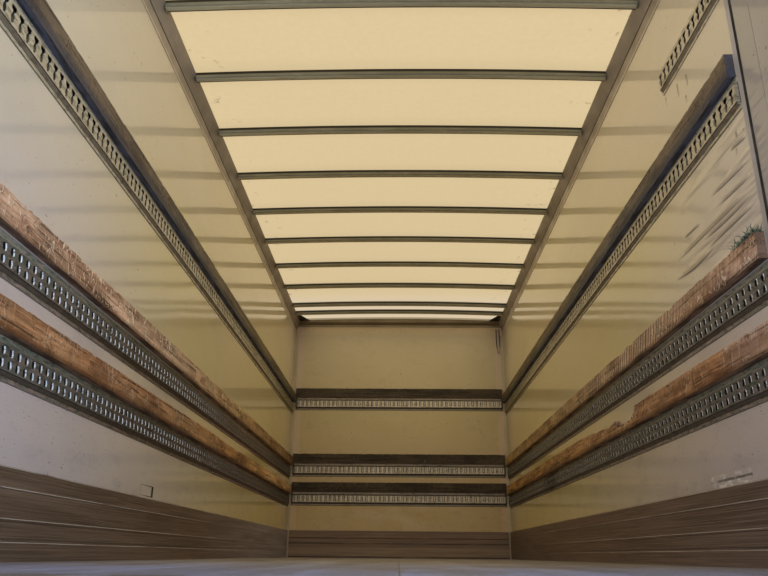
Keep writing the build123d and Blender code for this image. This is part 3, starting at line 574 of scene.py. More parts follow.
def wall_scuffs(f):
    """A thin dark frame low on the left wall, and a pale scuff with a dark scratch on the right."""
    frame_edge = f.math("SUBTRACT", f.wall_box((-0.757, 0.541), (-0.560, 0.592), 0.0015, -1.3),
                        f.wall_box((-0.752, 0.545), (-0.590, 0.588), 0.0015, -1.3))
    f.over((0.035, 0.025, 0.02), frame_edge, f.ramp(f.y, -0.75, -0.60, 0.35, 0.95))
    f.over((0.85, 0.82, 0.80), f.wall_box((-1.70, 0.528), (-1.37, 0.568), 0.02),
           f.patches((12, 16, 60), 0.46, 0.62), 0.9)
    f.over((0.07, 0.05, 0.045), f.wall_box((-1.72, 0.556), (-1.36, 0.562), 0.004),
           f.patches((12, 9, 12), 0.42, 0.5), 0.7)


def front_wall_light(f):
    """What the light does to the front wall: low down, at its upright edges and under its header."""
    f.tint((1.03, 0.96, 1.17), f.ramp(f.z, FLOOR_Z + 1.6, FLOOR_Z + 0.9))
    f.tint((1.10, 1.05, 1.30), f.ramp(f.aside(), 1.135, 1.15))
    f.tint((1.36, 1.28, 1.22), f.ramp(f.z, low("front_header").z - 0.10, low("front_header").z))


def wall_folds(f, inside):
    """Rust spots on the front wall, and the creased patch, folds and smudges on the right wall, with painted
    shade darkening the creased patch and the folds.
    Gives the creases and the folds, which are pressed in as well."""
    spots = []
    for x, z, radius in FRONT_SPOTS:
        away = f.put("VectorMath", {0: f.place, 1: (x, FRONT_Y, z)}, operation="DISTANCE").outputs["Value"]
        spots.append(f.ramp(away, radius, 0.4 * radius))
    f.over((0.12, 0.06, 0.03), f.most(spots), f.patches(90, 0.35, 0.55), 0.8)
    folds = [f.group("Fold", From=(0, *start), To=(0, *end), Bend=bend, Width=1.25 * width)["Mask"]
             for start, end, bend, width in FOLDS]
    folds = f.times(f.most(folds), inside)
    creased = f.times(inside, f.wall_box((-2.08, 1.42), (-1.62, 1.66), 0.28),
                      f.patches((1, 1.1, 11), 0.42, 0.66, 2.0))
    # Painted shade over the creased patch and in the folds.
    f.over((0.36, 0.28, 0.22), creased, 0.24)
    f.over((0.19, 0.135, 0.095), folds, 0.33)
    smudges = [f.wall_box((y - 0.005, z - 0.5 * tall), (y + 0.005, z + 0.5 * tall), 0.006)
               for y, z, tall in SMUDGES]
    f.over((0.10, 0.08, 0.06), f.most(smudges), f.patches((40, 90, 40), 0.35, 0.55), 0.7)
    return creased, folds


def rail_shadows(f, rows, shade_line):
    """Painted shade behind the open part of each rail and behind the short rail, and a painted shade line
    (distance, half width) at its edges.
    """
    for z in rows:
        off = f.off(f.z, FLOOR_Z + z)
        behind = f.math("LESS_THAN", off, 0.047)
        f.over(GAP, f.most([f.times(behind, 0.93), f.times(f.band(off, *shade_line), 0.75)]))
    a, b = low("side_rail_short"), high("side_rail_short")
    f.over(GAP, f.wall_box((a.y + 0.01, a.z + 0.02), (b.y - 0.01, b.z - 0.02), 0.001), 0.93)


def wall_finish(name, rows=(), darkening=0.0):
    """Plastic-faced plywood: cream and glossy inside with marks, white outside with streaks and
    road splash, and painted shade behind the rails."""
    f = Finish(name)
    front = name == "wall_panel_front"
    outside = f.outside()
    handled = wall_ground(f, front)
    marks = f.patches((26, 26, 260), 0.655, 0.70, 3.0)
    f.over((0.14, 0.09, 0.07), marks, f.blend(handled, 0.25, 0.70))
    specks = f.patches((38, 38, 60), 0.70, 0.73, 2.0)
    f.over((0.09, 0.06, 0.04), specks, 0.8)
    f.over((0.80, 0.76, 0.68), f.patches((30, 30, 200), 0.68, 0.72, 3.0), 0.35)
    wall_scuffs(f)
    if front:
        front_wall_light(f)
    creased, folds = wall_folds(f, f.math("SUBTRACT", 1.0, outside))
    rail_shadows(f, rows, (0.0693, 0.0016) if name == "wall_panel_side" else (0.0735, 0.0058))
    if darkening:
        f.tint((0.60, 0.62, 0.72), darkening)
    cream, f.base = f.base, colours().wall_outside
    f.over((0.40, 0.38, 0.34), f.patches((0.7, 0.7, 0.25), 0.45, 0.8, 6.0), 0.22)
    f.over((0.34, 0.31, 0.27), f.patches((16, 16, 0.8), 0.55, 0.8, 6.0), 0.30)
    f.over((0.30, 0.27, 0.23), f.ramp(f.z, 1.1, 0.25), f.patches((6, 6, 9), 0.35, 0.7, 7.0), 0.5)
    f.base = f.mix(outside, cream, f.base)
    f.bump(f.patches((1.1, 1.1, 1.6), 0.2, 0.8, 2.0), 0.0012)
    f.bump(f.patches((9, 9, 5), 0.2, 0.8, 3.0), 0.00012)
    f.bump(creased, 0.005)
    f.bump(folds, 0.007)
    glossy = 0.5 if front else 0.12
    rough = f.blend(f.patches((4, 4, 8), 0.35, 0.7, 5.0), 0.5 * glossy, glossy)
    return f.done(f.math("ADD", rough, f.times(f.most([specks, marks, outside]), 0.25)))


def leaf_finish(name):
    """Door leaf panel: white outside, cream and scuffed on the face that lies inside when the
    door is closed."""
    tone = colours()
    f = Finish(name, roughness=0.25)
    inner = f.math("GREATER_THAN", f.aside(), (high("rear_leaf_right").x + low("rear_leaf_right").x) / 2)
    soot = f.times(f.patches((1, 1, 0.4), 0.4, 0.8, 6.0), 0.25)
    white = f.mix(soot, tone.wall_outside, (0.40, 0.38, 0.34))
    cream = f.mix(f.patches((2, 2, 1), 0.4, 0.7, 6.0), tone.wall, shade(tone.wall, 0.85))
    f.base = f.mix(inner, white, cream)
    f.over((0.16, 0.12, 0.10), f.patches((26, 26, 260), 0.64, 0.70, 3.0), 0.5)
    splash = f.times(f.ramp(f.z, 0.9, 0.2), f.patches((6, 6, 9), 0.35, 0.7, 7.0))
    f.over((0.28, 0.25, 0.21), splash, 0.6)
    f.bump(f.patches((1.1, 1.1, 1.6), 0.2, 0.8, 2.0), 0.002)
    return f.done(f.blend(splash, 0.2, 0.5))


def rail_finish(name, base_colour, light, darkening, heights, smears, shade_lines=((0.0405, 0.0012), (0.0530, 0.0012)),
                worn=1.0, along="Y", left_dull=False):
    """Galvanised rail sheet with zinc flowers, smears along it, worn edges, painted shade on what
    faces down and a painted shade line at both edges of the lower slope."""
    f = Finish(name, metallic=0.3, roughness=0.45)
    cells = f.put("TexVoronoi", {"Vector": f.place, "Scale": 90.0})
    flower = f.put("SeparateColor", {0: cells.outputs["Color"]}).outputs[0]
    f.base = f.mix(f.times(flower, 0.35), base_colour, shade(base_colour, light))
    f.over(shade(base_colour, 0.62), f.patches((2, 3, 2), 0.45, 0.7, 6.0), 0.55)
    # Smears, grime, green film and rust, and painted shade on what faces down and in the front corners.
    f.over(smears, f.patches((30, 14, 110), 0.47, 0.60, 5.0), 0.75 * worn)
    f.over(shade(base_colour, 0.30), f.patches((30, 24, 70), 0.52, 0.60, 6.0), 0.7 * worn)
    f.over((0.09, 0.13, 0.08), f.patches((10, 6, 50), 0.58, 0.66, 4.0), 0.35)
    f.over((0.16, 0.065, 0.025), f.patches((7, 5, 9), 0.64, 0.72, 7.0), 0.5)
    f.over(darkening, f.ramp(f.facing(2), -0.25, -0.7, 0.0, 0.6))
    f.over(GAP, f.math("GREATER_THAN", f.y, FRONT_Y - 0.025), f.ramp(f.aside(), 1.186, 1.192), 0.85)
    if along == "Y":
        f.tint((0.57, 0.56, 0.48), f.ramp(f.y, 2.0, 3.8))
    if left_dull:
        # A blot on the right rails, the left ones duller and then paler towards the front, paler upper
        # slopes and flanges as painted light where the battens shade them, and paler lower flanges.
        blot = f.wall_box((1.55, FLOOR_Z + 0.53), (2.05, FLOOR_Z + 0.66), 0.06)
        f.over((0.012, 0.009, 0.008), blot, f.patches((20, 9, 30), 0.30, 0.55), 0.85)
        f.tint((0.66, 0.57, 0.48), f.left(), f.ramp(f.y, -2.2, -0.8))
        f.tint((1.55, 1.45, 1.90), f.left(), f.ramp(f.y, -0.6, 1.6))
        f.tint((2.2, 2.25, 1.9), f.most([f.band(f.z, height + 0.0555, 0.0165) for height in heights]))
        f.tint((1.75, 1.6, 1.5), f.most([f.band(f.z, height - 0.0600, 0.0075) for height in heights]))
    f.over((0.70, 0.68, 0.62), f.edges(0.0015, 60.0), 0.75)
    # Painted shade lines at the edges of the lower slope.
    lines = f.most([f.band(f.z, height - off, half) for height in heights for off, half in shade_lines])
    f.over(shade(base_colour, 0.06), lines, 0.92)
    f.bump(f.patches(70, 0.3, 0.7, 3.0), 0.0003)
    return f.done(f.blend(flower, 0.38, 0.6))


def tongue_finish():
    """Bent tongues coloured near white as painted glints, darker in patches, dull on the far left."""
    f = Finish("rail_tongue", metallic=0.1)
    f.base = colours().tongue
    f.over((0.16, 0.17, 0.20), f.patches((30, 60, 110), 0.50, 0.62, 3.0), 0.8)
    f.over((0.080, 0.080, 0.060), f.math("LESS_THAN", f.x, 0.05 - HALF_IN), f.ramp(f.y, -0.8, 1.3), 0.93)
    return f.done()


def plain_metal(name, base_colour, metallic=0.6, roughness=0.45, dust=0.5, wear=(0.5, 0.49, 0.46),
                outer=None, bands=(), shade_line=None):
    """Sheet or bar metal with patches, worn edges and settled dust. Its outer side may have
    another colour, bands of painted light and shade (height, half width, shade factor) lie on its
    inner side, and an upright painted shade line (distance from the middle, half width) on both hands."""
    f = Finish(name, metallic, roughness)
    f.base = base_colour
    for z, half, factor in bands:
        f.over(shade(base_colour, factor), f.band(f.z, z, half))
    if shade_line:
        f.over(shade(base_colour, 0.04), f.band(f.aside(), *shade_line), 0.95)
    if outer:
        f.over(outer, f.outside())
    f.tint((0.72, 0.70, 0.68), f.patches(3, 0.35, 0.7, 6.0), 0.7)
    f.tint((1.35, 1.35, 1.35), f.patches((40, 3, 40), 0.5, 0.7, 5.0), 0.3)
    f.over(wear, f.edges(0.002, 30.0), 0.6)
    f.dust((0.30, 0.27, 0.22), dust)
    f.bump(f.patches(45, 0.3, 0.7, 4.0), 0.0004)
    return f.done(f.blend(f.patches(8, 0.3, 0.7), roughness - 0.12, roughness + 0.18))


def bow_finish():
    """Roof bows: an underside painted pale as lit and rubbed in patches, sides painted dark as shade with
    dusty patches, and a painted shade line under the sheet and along each bow's front edge.
    """
    tone = colours()
    f = Finish("bow_dull", metallic=0.1)
    under = f.mix(f.times(f.patches((3, 30, 3), 0.40, 0.65, 5.0), 0.5), tone.bow, shade(tone.bow, 0.72))
    side = f.mix(f.patches((6, 20, 6), 0.40, 0.65, 5.0), tone.bow_side_shaded, shade(tone.bow_side_shaded, 1.25))
    # Painted light and shade: the pale colour on what faces down, the dark one on the sides.
    f.base = f.mix(f.ramp(f.facing(2), -0.80, -0.97), side, under)
    arc = f.math("SQRT", f.math("SUBTRACT", ROOF_RADIUS ** 2, f.times(f.x, f.x)))
    hang = f.math("SUBTRACT", f.math("ADD", arc, CROWN - ROOF_RADIUS), f.z)
    across = f.math("MODULO", f.math("ADD", f.math("SUBTRACT", f.y, BOW_SECOND), 20 * BOW_PITCH), BOW_PITCH)
    # Painted shade line under the sheet and along each bow's front edge.
    shade_line = f.most([f.ramp(hang, 0.020, 0.015), f.ramp(across, BOW_PITCH - 0.015, BOW_PITCH - 0.010)])
    f.over((0.012, 0.009, 0.005), shade_line)
    f.bump(f.patches(45, 0.3, 0.7, 4.0), 0.0004)
    return f.done()


def painted_steel(name, base_colour):
    """Painted steel with rust where the paint has gone from edges and patches."""
    f = Finish(name, roughness=0.42)
    f.base = f.mix(f.patches(2, 0.3, 0.7, 5.0), base_colour, shade(base_colour, 1.5))
    bare = f.most([f.times(f.edges(0.004, 22.0), 0.9), f.times(f.patches(11, 0.62, 0.66, 8.0), 0.8)])
    f.over((0.12, 0.05, 0.022), bare)
    f.dust((0.24, 0.21, 0.17), 0.45)
    f.bump(f.patches(60, 0.3, 0.7, 3.0), 0.0004)
    f.bump(bare, 0.0005, 0.6)
    return f.done(f.blend(bare, 0.4, 0.85))


def timber_finish(name, base_colour, along, stain, scraped, bruised, grain_tone=1.0, raked=0.0,
                  under=(0.34, 0.215, 0.155), low=None, foot_shade_tint=(0.36, 0.28, 0.22),
                  foot_shade_reach=(0.030, 0.006), far_left=None, near_left=(1, 1, 1)):
    """Softwood with grain along the batten. Scraped sets how much pale fibre is torn up in curved
    strokes (the contour lines of a noise), bruised how many dark cuts run across, and raked how
    strongly slanted strokes repeat along the right wall. What faces down is painted dark as shade,
    and so is the foot of a batten whose underside lies at the height low."""
    f = Finish(name, roughness=0.65, along=along)
    grain = f.group("Timber grain", Stretch=f.stretch(60, 2.0))
    f.base = f.mix(grain["Tone"], shade(base_colour, 1 - 0.5 * grain_tone),
                   shade(base_colour, 1 + 0.4 * grain_tone))
    # Stain, rubbed patches, pale fibres, reddish streaks and dark cracks.
    f.over(stain, f.streaks(9, 2.2, 0.45, 0.60, 6.0), 0.75)
    f.over(shade(base_colour, 1.6), f.streaks(7, 3.5, 0.50, 0.60, 6.0), 0.6 * scraped)
    fibres = f.streaks(130, 4, 0.58, 0.66, 4.0)
    f.over(shade(base_colour, 1.8), fibres, 0.45)
    f.tint((0.42, 0.24, 0.17), f.streaks(26, 3.0, 0.55, 0.64, 5.0), 0.55 if along == "Y" else 0.0)
    f.over(shade(base_colour, 0.08), f.streaks(90, 2.2, 0.57, 0.62, 4.0), 0.85)

    def torn(across, run, bend):
        """A noise stretched across and along the batten, and bent."""
        return f.noise(f.vector("MULTIPLY", f.place, f.stretch(across, run)), 1.0, 2.5, Distortion=bend)

    pale = f.times(f.ramp(f.off(torn(10, 24, 0.9), 0.53), 0.030, 0.012), f.streaks(4, 3.5, 0.40, 0.52))
    f.over((0.84, 0.70, 0.55), pale, scraped)
    nick = f.ramp(torn(24, 34, 1.4), 0.375, 0.325)
    f.over(shade(base_colour, 0.10), nick, bruised)
    relief = f.math("SUBTRACT", f.times(pale, scraped), f.times(nick, bruised))
    if raked:
        slant = {1: f.math("ADD", f.y, f.times(f.z, 0.45)), 2: f.times(f.z, 0.15)}
        slanted = f.put("CombineXYZ", slant).outputs[0]
        rake = f.put("TexWave", {"Vector": slanted, "Scale": 8.0, "Distortion": 4.0, "Detail": 3.0,
                                 "Detail Scale": 1.3}, bands_direction="Y").outputs["Fac"]
        rake = f.times(f.ramp(rake, 0.60, 0.90), f.right(), f.ramp(f.y, -1.6, -0.8, 0.25, 1.0), raked)
        f.over(shade(base_colour, 0.16), rake)
        relief = f.math("SUBTRACT", relief, rake)
    if along == "Y":
        # Painted light: yellower in front and redder behind. Tints along the left battens, and the
        # lowest right one's pale rear end.
        f.tint((1.03, 0.96, 0.62), f.ramp(f.y, -1.0, 2.2))
        if far_left:
            f.tint(far_left, f.left(), f.ramp(f.y, 0.8, 3.2))
            f.tint(near_left, f.left(), f.ramp(f.y, 0.2, -1.0))
        f.tint((1.02, 0.91, 0.84), f.ramp(f.y, -0.4, -1.8))
        f.tint((1.35, 1.75, 2.70), f.region((1.1, -2.3, FLOOR_Z + 0.6), (1.3, -1.92, FLOOR_Z + 0.8), 0.3))
    # Worn edges, darker end faces, and painted shade on the foot and underside.
    f.over(shade(base_colour, 0.10), f.edges(0.005, 70.0), 0.65)
    if low:
        f.tint(foot_shade_tint, f.ramp(f.z, FLOOR_Z + low + foot_shade_reach[0], FLOOR_Z + low + foot_shade_reach[1], 0.0, 0.85))
    if along == "Y":
        f.over(shade(under, 0.8), f.ramp(f.facing(1), -0.5, -0.8, 0.0, 0.75))
    shadow = f.mix(f.streaks(40, 5, 0.40, 0.60, 5.0), shade(under, 0.45), shade(under, 1.4))
    f.over(shadow, f.ramp(f.facing(2), -0.35, -0.8, 0.0, 0.92))
    f.bump(grain["Height"], 0.004)
    f.bump(fibres, 0.002)
    f.bump(relief, 0.007, 0.9)
    return f.done(f.blend(grain["Tone"], 0.5, 0.75))


def board_finish(name, base_colour, line_heights, along, dark_heights=()):
    """Coated board with pale lines at given heights, painted highlights on groove edges and dust along the
    top edge, dark lines, fine streaks and scuffs.
    """
    f = Finish(name, roughness=0.42, along=along)
    streaks = f.streaks(260, 1.6, 0.35, 0.68, 3.0)
    f.base = f.mix(streaks, shade(base_colour, 0.72), shade(base_colour, 1.5))
    clouds = f.streaks(14, 0.9, 0.4, 0.7, 6.0)
    f.over(shade(base_colour, 2.0), clouds, 0.5)
    f.over((0.30, 0.25, 0.21), f.streaks(190, 2.2, 0.63, 0.69, 4.0), 0.35)
    # Bluer on the right, and a painted bluish reflection far on the left.
    f.tint((1.12, 1.12, 1.28), f.math("GREATER_THAN", f.x, HALF_IN - 0.03))
    f.tint((2.20, 2.90, 4.60), f.math("LESS_THAN", f.x, 0.03 - HALF_IN), f.ramp(f.y, 0.0, 3.2))
    # Pale lines: painted highlights along the grooves, and dust along the top edge.
    lines = f.most([f.band(f.z, FLOOR_Z + z, 0.0014) for z in line_heights])
    broken = f.streaks(30, 3, 0.25, 0.5)
    f.over((0.55, 0.49, 0.43), lines, f.ramp(f.y, -1.0, 3.0, 1.0, 0.35), broken, 0.8)
    for z in dark_heights:
        f.over((0.030, 0.012, 0.008), f.band(f.z, FLOOR_Z + z, 0.006), broken, 0.8)
    if dark_heights:
        f.over((0.40, 0.33, 0.25), f.band(f.z, FLOOR_Z + 0.065, 0.045), f.streaks(60, 2, 0.3, 0.6, 5.0), 0.45)
    f.bump(streaks, 0.0006)
    return f.done(f.blend(clouds, 0.34, 0.6))


def bow_step(f):
    """Distance along the body from the middle of the nearest bow."""
    return f.math("PINGPONG", f.math("SUBTRACT", f.y, BOW_SECOND - BOW_WIDTH / 2), BOW_PITCH / 2)


def roof_under_finish():
    """Underside of the glass-fibre roof: glows with the daylight that comes through it, less
    near the bows, and carries dirt near its edges."""
    roof = colours().roof
    f = Finish("roof_sheet_underside", roughness=0.4)
    fibres = f.patches((26, 26, 4), 0.3, 0.75, 8.0)
    f.base = f.mix(f.times(f.patches((0.9, 0.6, 1), 0.3, 0.75, 4.0), 0.25), roof, shade(roof, 0.88))
    f.over(shade(roof, 1.12), fibres, 0.15)
    f.over(shade(roof, 0.8), f.patches((60, 9, 4), 0.5, 0.8, 6.0), 0.12)
    # Darker beside the bows and in front, glue lines along the front bows, dirt by the edges, grit.
    step = bow_step(f)
    f.over(shade(roof, 0.80), f.ramp(step, 0.16, 0.03, 0.0, 0.45))
    f.over(shade(roof, 0.86), f.ramp(f.y, -3.0, 4.0, 0.0, 0.8))
    f.over((0.72, 0.60, 0.43), f.ramp(f.y, 3.1, 3.6, 0.0, 0.8))
    first = f.off(f.y, BOW_FIRST - BOW_WIDTH / 2)
    glued = f.most([f.ramp(step, 0.048, 0.038), f.ramp(first, 0.048, 0.038), f.ramp(f.y, 4.13, 4.15)])
    f.over((0.25, 0.19, 0.11), glued, f.ramp(f.y, 2.2, 3.2), 0.85)
    f.over((0.26, 0.19, 0.10), f.patches((11, 11, 3), 0.62, 0.70, 4.0), f.ramp(f.aside(), 0.95, 1.18), 0.75)
    f.over((0.30, 0.22, 0.12), f.patches((60, 60, 3), 0.70, 0.74, 3.0), 0.35)
    fill(f.tree, f.shader, {"Emission Color": f.base, "Emission Strength": colours().roof_glow})
    f.base = f.mix(fibres, (0.06, 0.05, 0.03), (0.08, 0.065, 0.04))
    return f.done()


def roof_top_finish():
    """Upper side of the roof sheet: chalky cream with streaks of dirt."""
    f = Finish("roof_sheet_top")
    f.base = f.mix(f.patches((1.5, 0.4, 1), 0.4, 0.7, 6.0), (0.62, 0.58, 0.47), (0.46, 0.43, 0.35))
    f.over((0.24, 0.22, 0.17), f.patches((9, 2, 1), 0.5, 0.75, 7.0), 0.5)
    # Painted shade over the bows, which show through the sheet.
    f.over((0.34, 0.31, 0.25), f.ramp(bow_step(f), 0.05, 0.02, 0.0, 0.4))
    f.bump(f.patches(30, 0.3, 0.7, 4.0), 0.0006)
    return f.done()


def rubber_finish():
    """Black rubber, chalky in patches."""
    f = Finish("black_rubber", roughness=0.7)
    f.base = f.mix(f.patches(12, 0.4, 0.7, 5.0), (0.010, 0.010, 0.010), (0.040, 0.038, 0.036))
    f.bump(f.patches(80, 0.3, 0.7), 0.0002)
    return f.done()


def deck_finish():
    """Coated deck boards: polished tracks along the body, joints, dust and pale scrapes, and a painted sky
    reflection, bluer towards the doorway.
    """
    deck = colours().deck
    f = Finish("deck_board", roughness=0.4)
    tracks = f.patches((7, 0.5, 1), 0.4, 0.65, 6.0)
    f.base = f.mix(tracks, deck, shade(deck, 1.5))
    scrape = f.patches((90, 1.5, 1), 0.62, 0.68, 5.0)
    f.over((0.50, 0.48, 0.47), scrape, 0.6)
    f.over((0.09, 0.055, 0.035), f.patches((3, 1.4, 1), 0.5, 0.62, 8.0), 0.5)
    # Painted light: yellower inside, and a painted bluish reflection towards the doorway.
    f.base = f.mix(f.ramp(f.y, -0.5, -3.2), f.product((1.12, 0.98, 0.80)), f.product((0.72, 0.88, 1.40)))
    spills = f.most([f.region((-0.62, -3.34, 0), (-0.50, -3.20, 1), 0.03),
                     f.region((-0.42, -3.35, 0), (-0.34, -3.22, 1), 0.03)])
    f.over((0.020, 0.010, 0.014), spills, 0.9)
    f.over((0.02, 0.018, 0.016), f.math("LESS_THAN", f.math("PINGPONG", f.x, 0.3125), 0.0018))
    f.dust((0.36, 0.35, 0.35), 0.35)
    f.bump(f.patches((60, 60, 1), 0.3, 0.7, 4.0), 0.0008)
    f.bump(scrape, 0.001, 0.6)
    return f.done(f.blend(tracks, 0.3, 0.55))


def lens_finish():
    """Amber lamp lens with upright ribs."""
    f = Finish("amber_lens", roughness=0.12, Coat_Weight=0.6)
    f.base = f.mix(f.patches(25, 0.4, 0.7), (0.78, 0.24, 0.02), (0.62, 0.17, 0.015))
    ribs = f.put("TexWave", {"Vector": f.place, "Scale": 60.0}, bands_direction="Y")
    f.bump(ribs.outputs["Fac"], 0.001)
    return f.done()


def strap_finish():
    """Frayed green strap fibres."""
    f = Finish("strap_fibre", roughness=0.8)
    f.base = f.mix(f.patches(120, 0.35, 0.65), (0.010, 0.045, 0.028), (0.30, 0.42, 0.36))
    return f.done()


# Every finish by its key.
FINISHES = {}


def wear(key, finish, *nodes):
    """Keeps a finish by its key and puts it on construction nodes."""
    FINISHES[key] = finish
    for node in nodes:
        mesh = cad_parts[node].data
        mesh.materials.clear()
        mesh.materials.append(finish)


def short_height():
    """Height of the short rail's centre."""
    return (low("side_rail_short").z + high("side_rail_short").z) / 2


def wear_walls(tone, side_rows, front_rows):
    """Finishes of the walls, boards, deck and roof."""
    wear("wall_side", wall_finish("wall_panel_side", side_rows), "wall_left", "wall_right_front",
         "wall_right_rear")
    wear("wall_front", wall_finish("wall_panel_front", front_rows), "front_wall")
    wear("wall_plain", wall_finish("wall_panel_plain"), "wall_right_over_door")
    wear("door_side", wall_finish("side_door_panel", darkening=1.0), "side_door_leaf")
    wear("leaf", leaf_finish("door_leaf_panel"), "rear_leaf_left", "rear_leaf_right")
    wear("kick_side", board_finish("kick_board_side", tone.kick, (0.059, 0.129, 0.221, 0.282), "Y"),
         "kick_board_left", "kick_board_right")
    wear("kick_front", board_finish("kick_board_front", tone.kick_front, (0.045, 0.125, 0.248, 0.282), "X",
                                    (0.150, 0.205, 0.010)), "kick_board_front")
    wear("deck", deck_finish(), "floor_deck")
    wear("roof_under", roof_under_finish())
    wear("roof_top", roof_top_finish(), "roof_sheet")


def wear_rails(tone, side_rows, front_rows):
    """Finishes of the lashing rails and the battens."""
    wear("rail_light", rail_finish("rail_upper", tone.rail_light, 1.25, (0.20, 0.140, 0.090),
                                   (FLOOR_Z + side_rows[0], short_height()), (0.42, 0.36, 0.26)),
         "side_rail_upper_left", "side_rail_upper_right", "side_rail_short")
    wear("rail_front", rail_finish("rail_front", tone.rail_front, 1.1, (0.03, 0.022, 0.016),
                                   [FLOOR_Z + z for z in front_rows], (0.62, 0.50, 0.42),
                                   ((0.0545, 0.0095), (-0.0385, 0.0065)), 0.5, "X"), "front_rails")
    wear("rail_dark", rail_finish("rail_lower", tone.rail_dark, 1.6, (0.150, 0.115, 0.080),
                                  [FLOOR_Z + z for z in side_rows[1:]], (0.26, 0.205, 0.200), left_dull=True),
         "side_rails_low_left", "side_rails_low_right")
    # The rails' inner skin is near black: painted shade inside the hat section.
    wear("rail_inside_shaded", plain_metal("rail_inside_shaded", (0.022, 0.018, 0.014), 0.1, 0.7, 0.1))
    wear("tongue", tongue_finish())
    # The battens' under colours and foot tints are painted shade, bluish on the upper battens as painted
    # reflected light.
    wear("wood_upper", timber_finish(
        "batten_upper", tone.wood_upper, "Y", (0.060, 0.050, 0.045), 0.06, 0.6, 0.8, low=ROWS[0][1],
        under=(0.105, 0.120, 0.190), foot_shade_tint=(0.33, 0.47, 0.98), foot_shade_reach=(0.055, 0.020)))
    wear("wood_middle", timber_finish(
        "batten_middle", tone.wood_middle, "Y", (0.27, 0.150, 0.095), 0.85, 0.5, 0.7, 0.8, low=ROWS[1][1],
        foot_shade_tint=(0.44, 0.36, 0.30), foot_shade_reach=(0.024, 0.004), far_left=(0.55, 0.50, 0.50),
        near_left=(1.22, 1.26, 1.30)), "side_battens_left", "side_battens_right")
    wear("wood_lower", timber_finish(
        "batten_lower", tone.wood_lower, "Y", (0.19, 0.085, 0.040), 0.40, 0.5, 1.25, low=ROWS[2][1],
        far_left=(1.45, 1.75, 2.50)))
    wear("wood_front", timber_finish("batten_front", tone.wood_front, "X", GAP, 0.05, 0.3, 0.5),
         "front_battens")


def wear_frame(tone):
    """Finishes of the frame, the doors' fittings and the underframe."""
    pale_edge = (0.75, 0.75, 0.73)
    wear("frame_side", plain_metal("door_frame_dull", (0.42, 0.40, 0.43), 0.15, 0.5, 0.2, pale_edge),
         "side_door_frame")
    wear("bow", bow_finish(), "roof_bows", "roof_gussets")
    # The cant rails' bands are painted light and shade of their lip.
    wear("cant", plain_metal("cant_rail_dull", tone.cant, 0.2, 0.5, 0.2, outer=tone.aluminium, bands=(
        (WALL_TOP - 0.036, 0.036, 1.02), (WALL_TOP - 0.068, 0.005, 1.9), (WALL_TOP, 0.0045, 0.18))),
         "cant_rail_left", "cant_rail_right")
    # The header's bands are painted light and shade of its profile.
    wear("header", plain_metal("front_header_dull", tone.header, 0.15, 0.5, 0.2, outer=tone.aluminium, bands=(
        (2.9125, 0.0125, 0.85), (2.885, 0.015, 1.45), (2.866, 0.006, 1.8))), "front_header")
    # The corner trims' upright line is painted shade.
    wear("post", plain_metal("corner_trim_dull", (0.58, 0.52, 0.41), 0.2, 0.5, 0.2, outer=tone.aluminium,
                             shade_line=(1.194, 0.0125)), "front_post_left", "front_post_right")
    wear("aluminium", plain_metal("aluminium_dull", tone.aluminium, 0.7, 0.42, 0.25, pale_edge),
         "side_rave_left", "side_rave_right", "front_sill", "side_door_step")
    wear("zinc", plain_metal("zinc_fittings", (0.46, 0.46, 0.45), 0.8, 0.38, 0.2, (0.7, 0.7, 0.68)),
         "lock_keepers", "side_door_brackets", "side_door_hinges", "side_door_handle", "rear_hinges_left",
         "rear_hinges_right", "rear_locks_left", "rear_locks_right")
    wear("steel", painted_steel("painted_steel", tone.steel), "cross_bearers", "long_bearer_left",
         "long_bearer_right", "mounting_consoles", "rear_post_left", "rear_post_right", "rear_header",
         "rear_sill", "rear_hinge_ears")
    wear("rubber", rubber_finish(), "rear_buffers", "door_stops", "side_door_seal", "rear_seal_left",
         "rear_seal_right")
    wear("lens", lens_finish(), "marker_lamps")
    wear("strap", strap_finish())


def make_finishes():
    """Every material by its key, put on the construction nodes that wear it."""
    for make in (patches_group, region_group, edge_group, dust_group, grain_group, fold_group):
        make()
    side_rows, front_rows = ([row[0] for row in rows] for rows in (ROWS, FRONT_ROWS))
    wear_walls(colours(), side_rows, front_rows)
    wear_rails(colours(), side_rows, front_rows)
    wear_frame(colours())


# Roof sheet.

def roof_sheet():
    """Two skins of one sheet, z = roof_z(x), the lower one with a random sag of up to 1.2 mm,
    joined along the four edges."""
    xs = np.linspace(-ROOF_HALF, ROOF_HALF, 41)
    ys = np.linspace(low("roof_sheet").y, high("roof_sheet").y, 141)
    x, y = np.meshgrid(xs, ys, indexing="ij")
    ripple = 0.0012 * noise(together(x, y, 0.0), (0.5, 0.3, 1), 5)
    under = together(x, y, roof_z(x) + np.minimum(ripple, 0))
    over = together(x, y, roof_z(x) + SHEET)
    sheet = Surface()
    sheet.grid(under, slot=0)
    sheet.grid(over, slot=1)
    for rim in (np.s_[0], np.s_[-1], np.s_[:, 0], np.s_[:, -1]):
        sheet.grid(np.stack([under[rim], over[rim]]), slot=1)
    return sheet.piece("roof_sheet_glass_fibre", "body", [FINISHES["roof_under"], FINISHES["roof_top"]],
                       ("roof_sheet",))


# Lashing rails.

def keyhole(t):
    """Half width of an upper rail's slot at a share of its height: a round foot, a neck and a
    wide head."""
    foot = np.sqrt(np.clip(1 - ((t - 0.30) / 0.26) ** 2, 0, None)) * 0.0122
    neck = 0.0065
    head = 0.0165 / (1 + np.exp(-(t - 0.72) * 60))
    return np.maximum(np.maximum(foot, neck), head)


def punched(t):
    """Half width of a lower rail's hole at a share of its height: a rounded oblong."""
    return 0.0135 * np.clip(1 - np.abs(2 * t - 1) ** 4, 0.05, None) ** 0.25


